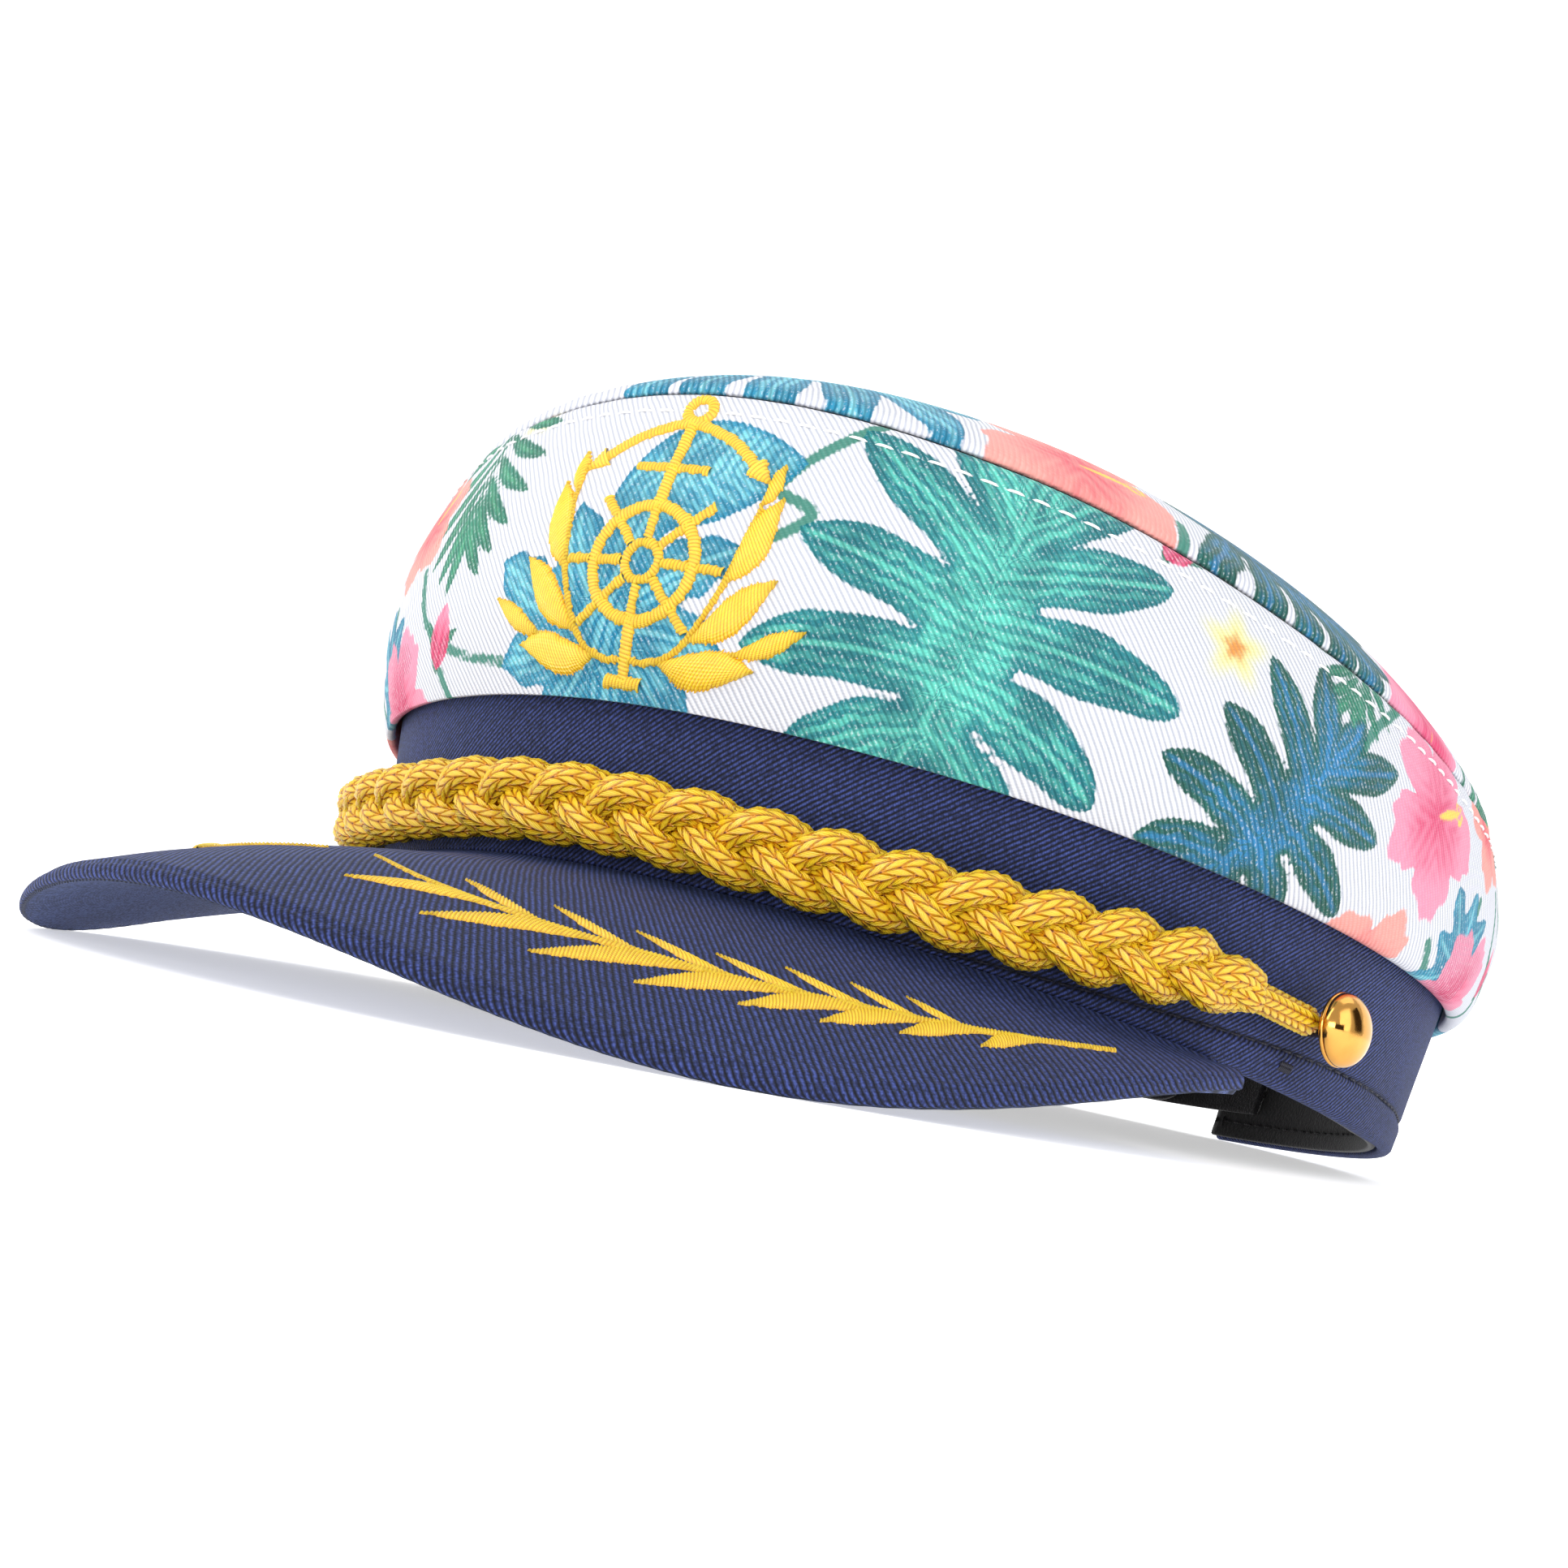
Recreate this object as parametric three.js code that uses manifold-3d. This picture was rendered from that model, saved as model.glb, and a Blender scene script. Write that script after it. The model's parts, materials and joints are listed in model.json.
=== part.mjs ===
// A captain hat: a printed cloth crown on a navy band, with a visor, a gold plait between two
// buttons, a black sweatband and a two-part strap across the gap at the back.
// Millimetres. In the hat's own frame the front is -Y, the wearer's left is +X and Z runs up
// from the plane of the rim; the finished hat is then laid on the ground as it rests by itself.
import * as THREE from "three";
import { mergeVertices } from "three/addons/utils/BufferGeometryUtils.js";
import Module from "manifold-3d";

const wasm = await Module();
wasm.setup();

// Overall sizes
const HALF_LENGTH = 100; // middle of the rim to the front of the band
const HALF_WIDTH = 84; // middle of the rim to the side of the band
const CROWN_RISE = 65; // rim plane to the top seam, at the front
const VISOR_REACH = 67; // how far the visor stands out in front of the band
const VISOR_DROP = 22.6; // how far its front edge hangs below the rim plane
const VISOR_HALF_WIDTH = 82;

// Cloth walls and clearances
const CLEARANCE = 0.3; // gap that touching pieces keep
const HEM_CLEARANCE = 0.5; // the hem's gap to the band
const CROWN_WALL = 1.6;
const BAND_WALL = 2.2;
const SWEATBAND_WALL = 1.4;
const VISOR_THICKNESS = 3.4;
const STRAP_WALL = 1.2;

// The band
const BAND_HEIGHT = 24; // the upper part stands hidden behind the crown's rolled edge
const BAND_FLARE = 0.16; // growth of the outline for each millimetre of height
const RIM_SAG = 3.8; // how far the sides of the rim hang below its front and back
const GAP_HALF_ANGLE = 23.5; // back gap, in degrees from the middle of the back
const SWEATBAND_HEIGHT = 27;
const SWEATBAND_SETBACK = 0.6; // the sweatband ends this far above the lower edge of the band

// The crown
const FOLD_HEIGHT = 21; // rim plane to the lower edge of the crown's roll
const FOLD_OVERHANG = 3.6; // how far the roll stands out from the band
const HEM_HEIGHT = 5; // the hem that turns up behind the roll
const ROLL_STEP = 0.7; // rounding of the roll's inner corner
const ROLL_EASE = 0.1; // extra room where the cloth turns up into the hem
const SEAM_OVERHANG = 6.6; // how far the top seam stands out from the band's lower edge
const SEAM_SHIFT = 0.9; // the top panel is pushed this far back
const WALL_BULGE = 4.4; // the wall's belly between the roll and the seam
const BULGE_SKEW = 0.95; // under 1 the belly is fullest below half height
const TOP_DOME = 19; // rise of the top panel over its seam
const DOME_POWER = 5; // the higher, the flatter the middle of the top panel
const ARCH_RISE = 19; // cut-out at the back above the crown's roll
const ARCH_POWER = 2.6; // the higher, the squarer the cut-out
const ARCH_REACH = 1.02; // the crown's sections stand closer up to this many half gaps

// Visor details
const VISOR_END_ANGLE = 60; // where its ends lie on the band
const VISOR_EDGE_SWEEP = 76; // part of the edge's oval that is used, each side
const VISOR_EDGE_BACK = 23; // the middle of that oval lies this far in front of the hat's middle
const EDGE_DIP = 1.345; // how the edge hangs lower between its front and its ends
const EDGE_LIFT = 2.145; // and how it rises again towards its ends
const VISOR_TUCK = 3.4; // how far it runs in under the band
const VISOR_CAMBER = 1.6; // upward bow between the band and the edge
const CAMBER_SKEW = 1.4; // over 1 the bow is highest near the edge
const CAMBER_SPAN = 80; // the bow fades to the visor's ends as the cosine does in these degrees

// Buttons, cords and strap
const BUTTON_DIAMETER = 10.4;
const BUTTON_DOME = 4;
const BUTTON_RIM = 0.8;
const BUTTON_BEVEL = 0.5;
const BUTTON_ANGLE = 69.5;
const BUTTON_HEIGHT = 6.2;
const SHANK_DIAMETER = 3;
const CORD_DIAMETER = 4.6;
const END_CORD_DIAMETER = 4;
const PLAIT_WIDTH = 10.8;
const PLAIT_DEPTH = 7.8;
const PLAIT_PITCH = 27.6; // length in which one strand goes over and back
const PLAIT_END_ANGLE = 60;
const PLAIT_HEIGHT = 4.6; // middle of the plait over the rim plane, where it hangs lowest
const PLAIT_LIFT = 1.8; // it lies this much higher at the front and at its ends
const PLAIT_SLACK = 0.3; // room behind the plait beyond the clearance
const PLAIT_TAPER = 14; // how quickly the plait widens from its ends
const PLAIT_END_SHARE = 0.15; // its width at the very end, as a share
const END_CORD_SLACK = 0.1;
const END_CORD_LAP = 2; // degrees that the end cords run into the plait
const END_CORD_DRAW = 1.4; // how soon the end cord lies down on the band
const STRAP_HEIGHT = 16;
const STRAP_LIFT = 5.2; // lower edge of the strap above the rim plane
const STRAP_LAP = 24; // how far each half runs past the middle of the back
const STRAP_TUCK = 12; // how far it runs in beside the sweatband
const STRAP_SLACK = 0.1;
const STRAP_SETTLE = 5; // degrees past the gap's edge where the halves lie one on the other

// Mesh steps
const AROUND = 72;
const PLAIT_STEPS = 8; // for each pitch
const CORD_SIDES = 6;
const END_CORD_STEPS = 6;
const BUTTON_SIDES = 20;
const DOME_STEPS = 5;
const STRAP_STEPS = 14;
const VISOR_STEPS = 40;
const VISOR_EASE = 0.35; // crowds the visor's sections towards its ends
const GAP_SHARES = [-1.02, -1, -0.93, -0.8, -0.6, -0.35, 0, 0.35, 0.6, 0.8, 0.93, 1, 1.02];
const WALL_SHARES = [0.045, 0.14, 0.3, 0.48, 0.66, 0.83, 1]; // from the roll to the seam
const TOP_SHARES = [1, 0.985, 0.93, 0.84, 0.7, 0.5, 0.27, 0]; // from the seam to the middle

// The visor's sections from its root to its edge: place as a share of its depth, and how far
// its faces draw together there as a share of its thickness.
const VISOR_SECTIONS = [
  { out: -1, draw: 0 },
  { out: 0, draw: 0 },
  { out: 0.1, draw: 0 },
  { out: 0.25, draw: 0 },
  { out: 0.42, draw: 0 },
  { out: 0.6, draw: 0 },
  { out: 0.78, draw: 0 },
  { out: 0.9, draw: 0 },
  { out: 0.965, draw: 0.12 },
  { out: 0.99, draw: 0.28 },
  { out: 1, draw: 0.5 },
];

// The crown's sections from the front to the back, left and right alike. The roll's height is a
// share of FOLD_HEIGHT and its stand-off of FOLD_OVERHANG, the seam's height is a share of
// CROWN_RISE and its stand-off of SEAM_OVERHANG, and the belly is a share of WALL_BULGE.
const CROWN_SECTIONS = [
  { angle: 0, roll: 1.0, rollOut: 0.5, seam: 1.0, seamOut: 0.9, belly: 1.0 },
  { angle: 30, roll: 0.97, rollOut: 0.5, seam: 0.94, seamOut: 0.95, belly: 0.95 },
  { angle: 60, roll: 0.93, rollOut: 0.65, seam: 0.825, seamOut: 1.0, belly: 0.85 },
  { angle: 90, roll: 0.94, rollOut: 1.0, seam: 0.745, seamOut: 1.0, belly: 0.65 },
  { angle: 120, roll: 1.03, rollOut: 1.0, seam: 0.77, seamOut: 1.0, belly: 0.6 },
  { angle: 150, roll: 1.04, rollOut: 1.0, seam: 0.83, seamOut: 1.0, belly: 0.6 },
  { angle: 180, roll: 1.04, rollOut: 1.0, seam: 0.85, seamOut: 1.0, belly: 0.6 },
];

// Soft dents and folds of the top panel: place as a share of the way from the middle to the
// seam, angle in degrees, reach as a share of HALF_WIDTH, and height as a share of TOP_DOME.
const TOP_DENTS = [
  { angle: 62, place: 0.55, reach: 0.36, height: -0.16 },
  { angle: 100, place: 0.72, reach: 0.2, height: 0.12 },
  { angle: -75, place: 0.5, reach: 0.34, height: -0.12 },
  { angle: 155, place: 0.6, reach: 0.3, height: 0.08 },
];

// Soft dents of the crown wall: height as a share of the wall, reach in degrees, and depth as a
// share of WALL_BULGE. Up and down they reach DENT_HEIGHT of the wall.
const DENT_HEIGHT = 0.45;
const WALL_DENTS = [
  { angle: 76, height: 0.45, reach: 16, depth: -0.2 },
  { angle: 112, height: 0.6, reach: 14, depth: 0.16 },
  { angle: -60, height: 0.5, reach: 15, depth: -0.16 },
  { angle: -118, height: 0.4, reach: 16, depth: 0.14 },
];

// Worked-out sizes
const radians = THREE.MathUtils.degToRad;
const bandInside = -BAND_WALL;
const sweatbandOutside = bandInside - CLEARANCE;
const sweatbandInside = sweatbandOutside - SWEATBAND_WALL;
const gapAngle = 180 - GAP_HALF_ANGLE;
const shankLength = END_CORD_DIAMETER + 2 * CLEARANCE;

// A point at a parameter angle round the rim's oval, moved out along the oval's normal.
function rimPoint(degrees, out, z) {
  const angle = radians(degrees);
  const normal = new THREE.Vector2(Math.sin(angle) / HALF_WIDTH, -Math.cos(angle) / HALF_LENGTH);
  normal.normalize();
  return new THREE.Vector3(
    HALF_WIDTH * Math.sin(angle) + out * normal.x,
    -HALF_LENGTH * Math.cos(angle) + out * normal.y,
    z,
  );
}

// The lower edge of the band: it sags at the sides, and its back half lies in one plane.
function rimHeight(y) {
  const along = THREE.MathUtils.clamp(y / HALF_LENGTH, -1, 1);
  const rise = along < 0 ? along * along : along;
  return -RIM_SAG * (1 - rise);
}

// The outward place of the band's outer face at a height.
function bandFace(z) {
  return BAND_FLARE * z;
}

// A smooth value between the rows of a table that runs from 0 to 180 degrees.
function fromTable(table, key, degrees) {
  const angle = Math.abs(degrees);
  const step = table[1].angle - table[0].angle;
  const last = table.length - 1;
  const row = Math.min(last - 1, Math.floor(angle / step));
  const at = (n) => table[n < 0 ? -n : n > last ? 2 * last - n : n][key];
  const t = angle / step - row;
  const before = at(row - 1);
  const from = at(row);
  const to = at(row + 1);
  const after = at(row + 2);
  const bend = 2 * before - 5 * from + 4 * to - after;
  const twist = 3 * (from - to) + after - before;
  return from + 0.5 * t * (to - before + t * (bend + t * twist));
}

// A round-topped bump of height 1 that dies away at the distance of 1.
function bump(distance) {
  return distance < 1 ? (1 - distance * distance) ** 2 : 0;
}

// Degrees between two angles round the hat, the short way.
function turnBetween(a, b) {
  return Math.abs(((((a - b) % 360) + 540) % 360) - 180);
}

// A closed solid between two grids of points, the outer one and the inner one. The rows run
// round the hat; a ring joins its last row to its first, and an open strip has end faces.
function skin(outer, inner, ring) {
  const corners = [];
  const face = (a, b, c) => {
    if (a.distanceTo(b) < 1e-4 || b.distanceTo(c) < 1e-4 || c.distanceTo(a) < 1e-4) return;
    corners.push(...a.toArray(), ...b.toArray(), ...c.toArray());
  };
  const quad = (a, b, c, d) => {
    face(a, b, c);
    face(a, c, d);
  };
  const rows = outer.length;
  const last = outer[0].length - 1;
  for (let i = 0; i < (ring ? rows : rows - 1); i++) {
    const next = (i + 1) % rows;
    for (let j = 0; j < last; j++) {
      quad(outer[i][j], outer[next][j], outer[next][j + 1], outer[i][j + 1]);
      quad(inner[i][j], inner[i][j + 1], inner[next][j + 1], inner[next][j]);
    }
    quad(outer[i][last], outer[next][last], inner[next][last], inner[i][last]);
    quad(outer[i][0], inner[i][0], inner[next][0], outer[next][0]);
  }
  if (!ring) {
    for (let j = 0; j < last; j++) {
      quad(outer[0][j], outer[0][j + 1], inner[0][j + 1], inner[0][j]);
      const end = rows - 1;
      quad(outer[end][j], inner[end][j], inner[end][j + 1], outer[end][j + 1]);
    }
  }
  const geometry = new THREE.BufferGeometry();
  geometry.setAttribute("position", new THREE.Float32BufferAttribute(corners, 3));
  return mergeVertices(geometry, 1e-4);
}

// A list of evenly spaced values.
function spread(from, to, count) {
  return Array.from({ length: count + 1 }, (_, n) => from + ((to - from) * n) / count);
}

// Geometry to a solid that can be joined, and back.
function toSolid(geometry) {
  const bare = new THREE.BufferGeometry();
  const source = geometry.index ? geometry.toNonIndexed() : geometry;
  bare.setAttribute("position", source.getAttribute("position"));
  const merged = mergeVertices(bare, 1e-4);
  return new wasm.Manifold(
    new wasm.Mesh({
      numProp: 3,
      vertProperties: merged.attributes.position.array,
      triVerts: new Uint32Array(merged.index.array),
    }),
  );
}

function toGeometry(solid) {
  const mesh = solid.getMesh();
  const geometry = new THREE.BufferGeometry();
  geometry.setAttribute("position", new THREE.BufferAttribute(mesh.vertProperties, 3));
  geometry.setIndex(new THREE.BufferAttribute(mesh.triVerts, 1));
  return geometry;
}

function joined(geometries) {
  const solids = geometries.map(toSolid);
  return toGeometry(solids.reduce((whole, next) => whole.add(next)));
}

// A cord of round section along a list of points.
function cordAlong(points, diameter, steps) {
  const corner = (n) => (2 * Math.PI * n) / CORD_SIDES;
  const section = new THREE.Shape(
    spread(0, CORD_SIDES - 1, CORD_SIDES - 1).map(
      (n) => new THREE.Vector2(Math.cos(corner(n)), Math.sin(corner(n))).multiplyScalar(diameter / 2),
    ),
  );
  const extrudePath = new THREE.CatmullRomCurve3(points);
  return new THREE.ExtrudeGeometry(section, { steps, extrudePath, bevelEnabled: false });
}

// Crown wall
// The lower edge of the crown's roll, which arches up over the gap at the back.
function foldHeight(degrees) {
  const flat = FOLD_HEIGHT * fromTable(CROWN_SECTIONS, "roll", degrees);
  const fromBack = turnBetween(degrees, 180) / GAP_HALF_ANGLE;
  const arch = fromBack < 1 ? Math.sqrt(1 - fromBack ** ARCH_POWER) : 0;
  return flat + ARCH_RISE * arch;
}

function seamHeight(degrees) {
  return CROWN_RISE * fromTable(CROWN_SECTIONS, "seam", degrees);
}

function seamPoint(degrees, out, z) {
  const point = rimPoint(degrees, SEAM_OVERHANG * fromTable(CROWN_SECTIONS, "seamOut", degrees) + out, z);
  point.y += SEAM_SHIFT;
  return point;
}

// A point of the wall's outer face, from the bottom of the roll (0) to the seam (1).
function wallPoint(degrees, share, inward) {
  const low = foldHeight(degrees);
  const high = seamHeight(degrees);
  const belly = fromTable(CROWN_SECTIONS, "belly", degrees) * WALL_BULGE;
  let swell = belly * Math.sin(Math.PI * share ** BULGE_SKEW);
  for (const dent of WALL_DENTS) {
    const across = turnBetween(degrees, dent.angle) / dent.reach;
    const along = (share - dent.height) / DENT_HEIGHT;
    swell += WALL_BULGE * dent.depth * bump(Math.hypot(across, along));
  }
  const overhang = FOLD_OVERHANG * fromTable(CROWN_SECTIONS, "rollOut", degrees);
  const foot = rimPoint(degrees, bandFace(FOLD_HEIGHT) + overhang + swell - inward, low);
  const head = seamPoint(degrees, swell - inward, high);
  return foot.lerp(head, share);
}

// Each section runs down the hem, round the roll and up the wall to the seam. Behind the roll
// the printed face is the nearer one to the band, and on the wall it is the outer one.
function crownSide() {
  const reach = GAP_HALF_ANGLE * ARCH_REACH;
  const angles = [
    ...spread(-180 + reach, 180 - reach, AROUND - GAP_SHARES.length).slice(1, -1),
    ...GAP_SHARES.map((share) => 180 + share * GAP_HALF_ANGLE),
  ];
  const printed = [];
  const lined = [];
  for (const turn of angles) {
    const degrees = turn > 180 ? turn - 360 : turn;
    const low = foldHeight(degrees);
    const hem = (z, out) => rimPoint(degrees, bandFace(Math.min(z, BAND_HEIGHT)) + HEM_CLEARANCE + out, z);
    printed.push([
      hem(low + HEM_HEIGHT, 0),
      hem(low + ROLL_STEP, 0),
      hem(low, ROLL_STEP),
      ...WALL_SHARES.map((share) => wallPoint(degrees, share, 0)),
    ]);
    lined.push([
      hem(low + HEM_HEIGHT, CROWN_WALL),
      hem(low + CROWN_WALL + ROLL_STEP, CROWN_WALL),
      hem(low + CROWN_WALL, CROWN_WALL + ROLL_EASE),
      ...WALL_SHARES.map((share) => wallPoint(degrees, share, CROWN_WALL)),
    ]);
  }
  return skin(printed, lined, true);
}

// Crown top
function topPoint(degrees, share, z) {
  const edge = seamPoint(degrees, 0, 0);
  const middle = new THREE.Vector3(0, SEAM_SHIFT, 0);
  const point = middle.lerp(edge, share);
  const level = seamHeight(0) * 0.5 + seamHeight(180) * 0.5;
  const sides = THREE.MathUtils.lerp(level, seamHeight(degrees), share * share);
  const domed = TOP_DOME * (1 - share ** DOME_POWER);
  let dents = 0;
  for (const dent of TOP_DENTS) {
    const centre = new THREE.Vector3(0, SEAM_SHIFT, 0).lerp(seamPoint(dent.angle, 0, 0), dent.place);
    const away = Math.hypot(point.x - centre.x, point.y - centre.y) / (dent.reach * HALF_WIDTH);
    dents += TOP_DOME * dent.height * bump(away);
  }
  point.z = sides + domed + dents + z;
  return point;
}

function crownTop() {
  const outer = [];
  const inner = [];
  for (const degrees of spread(-180, 180, AROUND).slice(1)) {
    outer.push(TOP_SHARES.map((share) => topPoint(degrees, share, CLEARANCE + CROWN_WALL)));
    inner.push(TOP_SHARES.map((share) => topPoint(degrees, share, CLEARANCE)));
  }
  return skin(outer, inner, true);
}

// Band and sweatband: strips round the head that stop at the back gap.
function headStrip(outside, wall, setback, height) {
  const outer = [];
  const inner = [];
  const upright = (degrees, out) => {
    const low = rimHeight(rimPoint(degrees, out, 0).y) + setback;
    const foot = rimPoint(degrees, out + bandFace(low), low);
    foot.z = rimHeight(foot.y) + setback;
    const head = rimPoint(degrees, out + bandFace(height), height);
    return spread(0, 1, 3).map((share) => foot.clone().lerp(head, share));
  };
  for (const degrees of spread(-gapAngle, gapAngle, AROUND)) {
    outer.push(upright(degrees, outside));
    inner.push(upright(degrees, outside - wall));
  }
  return skin(outer, inner, false);
}

// Visor
function visorEdge(along) {
  const sweep = radians(along * VISOR_EDGE_SWEEP);
  const across = Math.sin(sweep);
  const drop = VISOR_DROP * (1 + EDGE_DIP * across ** 2 - EDGE_LIFT * across ** 4);
  return new THREE.Vector3(
    VISOR_HALF_WIDTH * across,
    -VISOR_EDGE_BACK - (HALF_LENGTH + VISOR_REACH - VISOR_EDGE_BACK) * Math.cos(sweep),
    -drop,
  );
}

// A point of the visor's lower face, from the band's outer face (0) to the edge (1); less than
// 0 is the root under the band.
function visorPoint(along, out, lift) {
  const turn = along * VISOR_END_ANGLE;
  const seat = rimPoint(turn, out < 0 ? -VISOR_TUCK : CLEARANCE, 0);
  seat.z = rimHeight(seat.y) - CLEARANCE - VISOR_THICKNESS;
  const point = seat.lerp(visorEdge(along), Math.max(out, 0));
  if (out > 0) {
    const bow = Math.sin(Math.PI * out ** CAMBER_SKEW) * Math.cos(radians(along * CAMBER_SPAN));
    point.z += VISOR_CAMBER * bow;
  }
  point.z += lift;
  return point;
}

function visor() {
  const upper = [];
  const lower = [];
  for (const turn of spread(-90, 90, VISOR_STEPS)) {
    const along = Math.sin(radians(turn)) * VISOR_EASE + (turn / 90) * (1 - VISOR_EASE);
    upper.push(VISOR_SECTIONS.map(({ out, draw }) => visorPoint(along, out, VISOR_THICKNESS * (1 - draw))));
    lower.push(VISOR_SECTIONS.map(({ out, draw }) => visorPoint(along, out, VISOR_THICKNESS * draw)));
  }
  return skin(lower, upper, false);
}

// Plait and its end cords
// The plait hangs lowest between the front and the buttons.
function plaitHeight(degrees) {
  const turn = degrees / PLAIT_END_ANGLE;
  return PLAIT_HEIGHT + PLAIT_LIFT * (1 - Math.sin(Math.PI * Math.abs(turn)) ** 2);
}

function plaitPoints(strand) {
  const cordRadius = CORD_DIAMETER / 2;
  const sideways = PLAIT_WIDTH / 2 - cordRadius;
  const depth = PLAIT_DEPTH / 2 - cordRadius;
  const arc = radians(2 * PLAIT_END_ANGLE) * ((HALF_LENGTH + HALF_WIDTH) / 2);
  const pitches = Math.round(arc / PLAIT_PITCH);
  return spread(0, 1, pitches * PLAIT_STEPS).map((share) => {
    const phase = 2 * Math.PI * (share * pitches + strand / 3);
    const degrees = THREE.MathUtils.lerp(-PLAIT_END_ANGLE, PLAIT_END_ANGLE, share);
    const fromEnd = Math.min(share, 1 - share);
    const narrow = Math.min(1, fromEnd * PLAIT_TAPER + PLAIT_END_SHARE);
    const z = plaitHeight(degrees) + narrow * sideways * Math.sin(phase);
    const out = bandFace(z) + CLEARANCE + PLAIT_SLACK + PLAIT_DEPTH / 2;
    return rimPoint(degrees, out + narrow * depth * Math.sin(2 * phase), z);
  });
}

// The single cord at each end dips under the button's dome and stops at its shank.
function endCord(side) {
  const start = bandFace(PLAIT_HEIGHT) + CLEARANCE + PLAIT_DEPTH / 2;
  const plaitEnd = plaitHeight(PLAIT_END_ANGLE);
  const stop = bandFace(BUTTON_HEIGHT) + CLEARANCE + END_CORD_SLACK + END_CORD_DIAMETER / 2;
  const short = THREE.MathUtils.radToDeg((SHANK_DIAMETER / 2 + CLEARANCE) / HALF_LENGTH);
  const points = spread(0, 1, 5).map((share) =>
    rimPoint(
      side * THREE.MathUtils.lerp(PLAIT_END_ANGLE - END_CORD_LAP, BUTTON_ANGLE - short, share),
      THREE.MathUtils.lerp(start, stop, Math.min(1, share * END_CORD_DRAW)),
      THREE.MathUtils.lerp(plaitEnd, BUTTON_HEIGHT, share),
    ),
  );
  return cordAlong(points, END_CORD_DIAMETER, END_CORD_STEPS);
}

function braid() {
  const strands = [0, 1, 2].map((strand) => {
    const points = plaitPoints(strand);
    return cordAlong(points, CORD_DIAMETER, points.length - 1);
  });
  return joined([...strands, endCord(-1), endCord(1)]);
}

// Buttons: a dome on a shank that ends just clear of the band, turned about its axis.
function button() {
  const radius = BUTTON_DIAMETER / 2;
  const profile = [
    [0, 0],
    [SHANK_DIAMETER / 2, 0],
    [SHANK_DIAMETER / 2, shankLength],
    [radius - BUTTON_BEVEL, shankLength],
    [radius, shankLength + BUTTON_RIM / 2],
    ...spread(0, 1, DOME_STEPS).map((share) => {
      const angle = (share * Math.PI) / 2;
      return [
        radius * Math.cos(angle),
        shankLength + BUTTON_RIM + (BUTTON_DOME - BUTTON_RIM) * Math.sin(angle),
      ];
    }),
  ];
  profile[profile.length - 1][0] = 0;
  return new THREE.LatheGeometry(
    profile.map(([r, h]) => new THREE.Vector2(r, h)),
    BUTTON_SIDES,
  );
}

// Strap halves: each starts inside the sweatband's end and runs past the middle of the back.
function strap(side, layer) {
  const lap = THREE.MathUtils.radToDeg(STRAP_LAP / HALF_WIDTH);
  const tuck = THREE.MathUtils.radToDeg(STRAP_TUCK / HALF_WIDTH);
  const start = gapAngle - tuck;
  const end = 180 + lap;
  const outer = [];
  const inner = [];
  for (const turn of spread(start, end, STRAP_STEPS)) {
    const degrees = side * turn;
    const seat = sweatbandInside - CLEARANCE - STRAP_SLACK;
    const drawn = seat - layer * (STRAP_WALL + CLEARANCE);
    const heights = [STRAP_LIFT, STRAP_LIFT + STRAP_HEIGHT / 2, STRAP_LIFT + STRAP_HEIGHT];
    const at = (z) => {
      const fixed = THREE.MathUtils.smoothstep(turn, start, gapAngle + STRAP_SETTLE);
      return THREE.MathUtils.lerp(seat, drawn, fixed) + bandFace(z);
    };
    outer.push(heights.map((z) => rimPoint(degrees, at(z), z)));
    inner.push(heights.map((z) => rimPoint(degrees, at(z) - STRAP_WALL, z)));
  }
  if (side < 0) {
    outer.reverse();
    inner.reverse();
  }
  return skin(outer, inner, false);
}

// Finishes
const printedCloth = new THREE.MeshStandardMaterial({ color: 0xeef0f2, roughness: 0.9 });
const navyTwill = new THREE.MeshStandardMaterial({ color: 0x28305e, roughness: 0.85 });
const blackLining = new THREE.MeshStandardMaterial({ color: 0x101012, roughness: 0.9 });
const goldCord = new THREE.MeshStandardMaterial({ color: 0xf2b21c, roughness: 0.45 });
const polishedGold = new THREE.MeshStandardMaterial({ color: 0xd9a441, roughness: 0.18, metalness: 1 });

function piece(name, geometry, material) {
  const mesh = new THREE.Mesh(geometry, material);
  mesh.name = name;
  return mesh;
}

// A button seated on the band: its axis is the band's outward normal.
function seatedButton(name, side) {
  const mesh = piece(name, button(), polishedGold);
  const seat = rimPoint(side * BUTTON_ANGLE, bandFace(BUTTON_HEIGHT), BUTTON_HEIGHT);
  const outward = rimPoint(side * BUTTON_ANGLE, bandFace(BUTTON_HEIGHT) + 1, BUTTON_HEIGHT).sub(seat);
  mesh.position.copy(seat).addScaledVector(outward, CLEARANCE + BAND_FLARE * SHANK_DIAMETER / 2);
  mesh.quaternion.setFromUnitVectors(new THREE.Vector3(0, 1, 0), outward);
  return mesh;
}

const hat = new THREE.Group();
hat.add(
  piece("crown_side", crownSide(), printedCloth),
  piece("crown_top", crownTop(), printedCloth),
  piece("hat_band", headStrip(0, BAND_WALL, 0, BAND_HEIGHT), navyTwill),
  piece(
    "sweatband",
    headStrip(sweatbandOutside, SWEATBAND_WALL, SWEATBAND_SETBACK, SWEATBAND_HEIGHT),
    blackLining,
  ),
  piece("visor", visor(), navyTwill),
  piece("braid", braid(), goldCord),
  seatedButton("button_left", 1),
  seatedButton("button_right", -1),
  piece("strap_left", strap(1, 0), blackLining),
  piece("strap_right", strap(-1, 1), blackLining),
);

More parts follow.
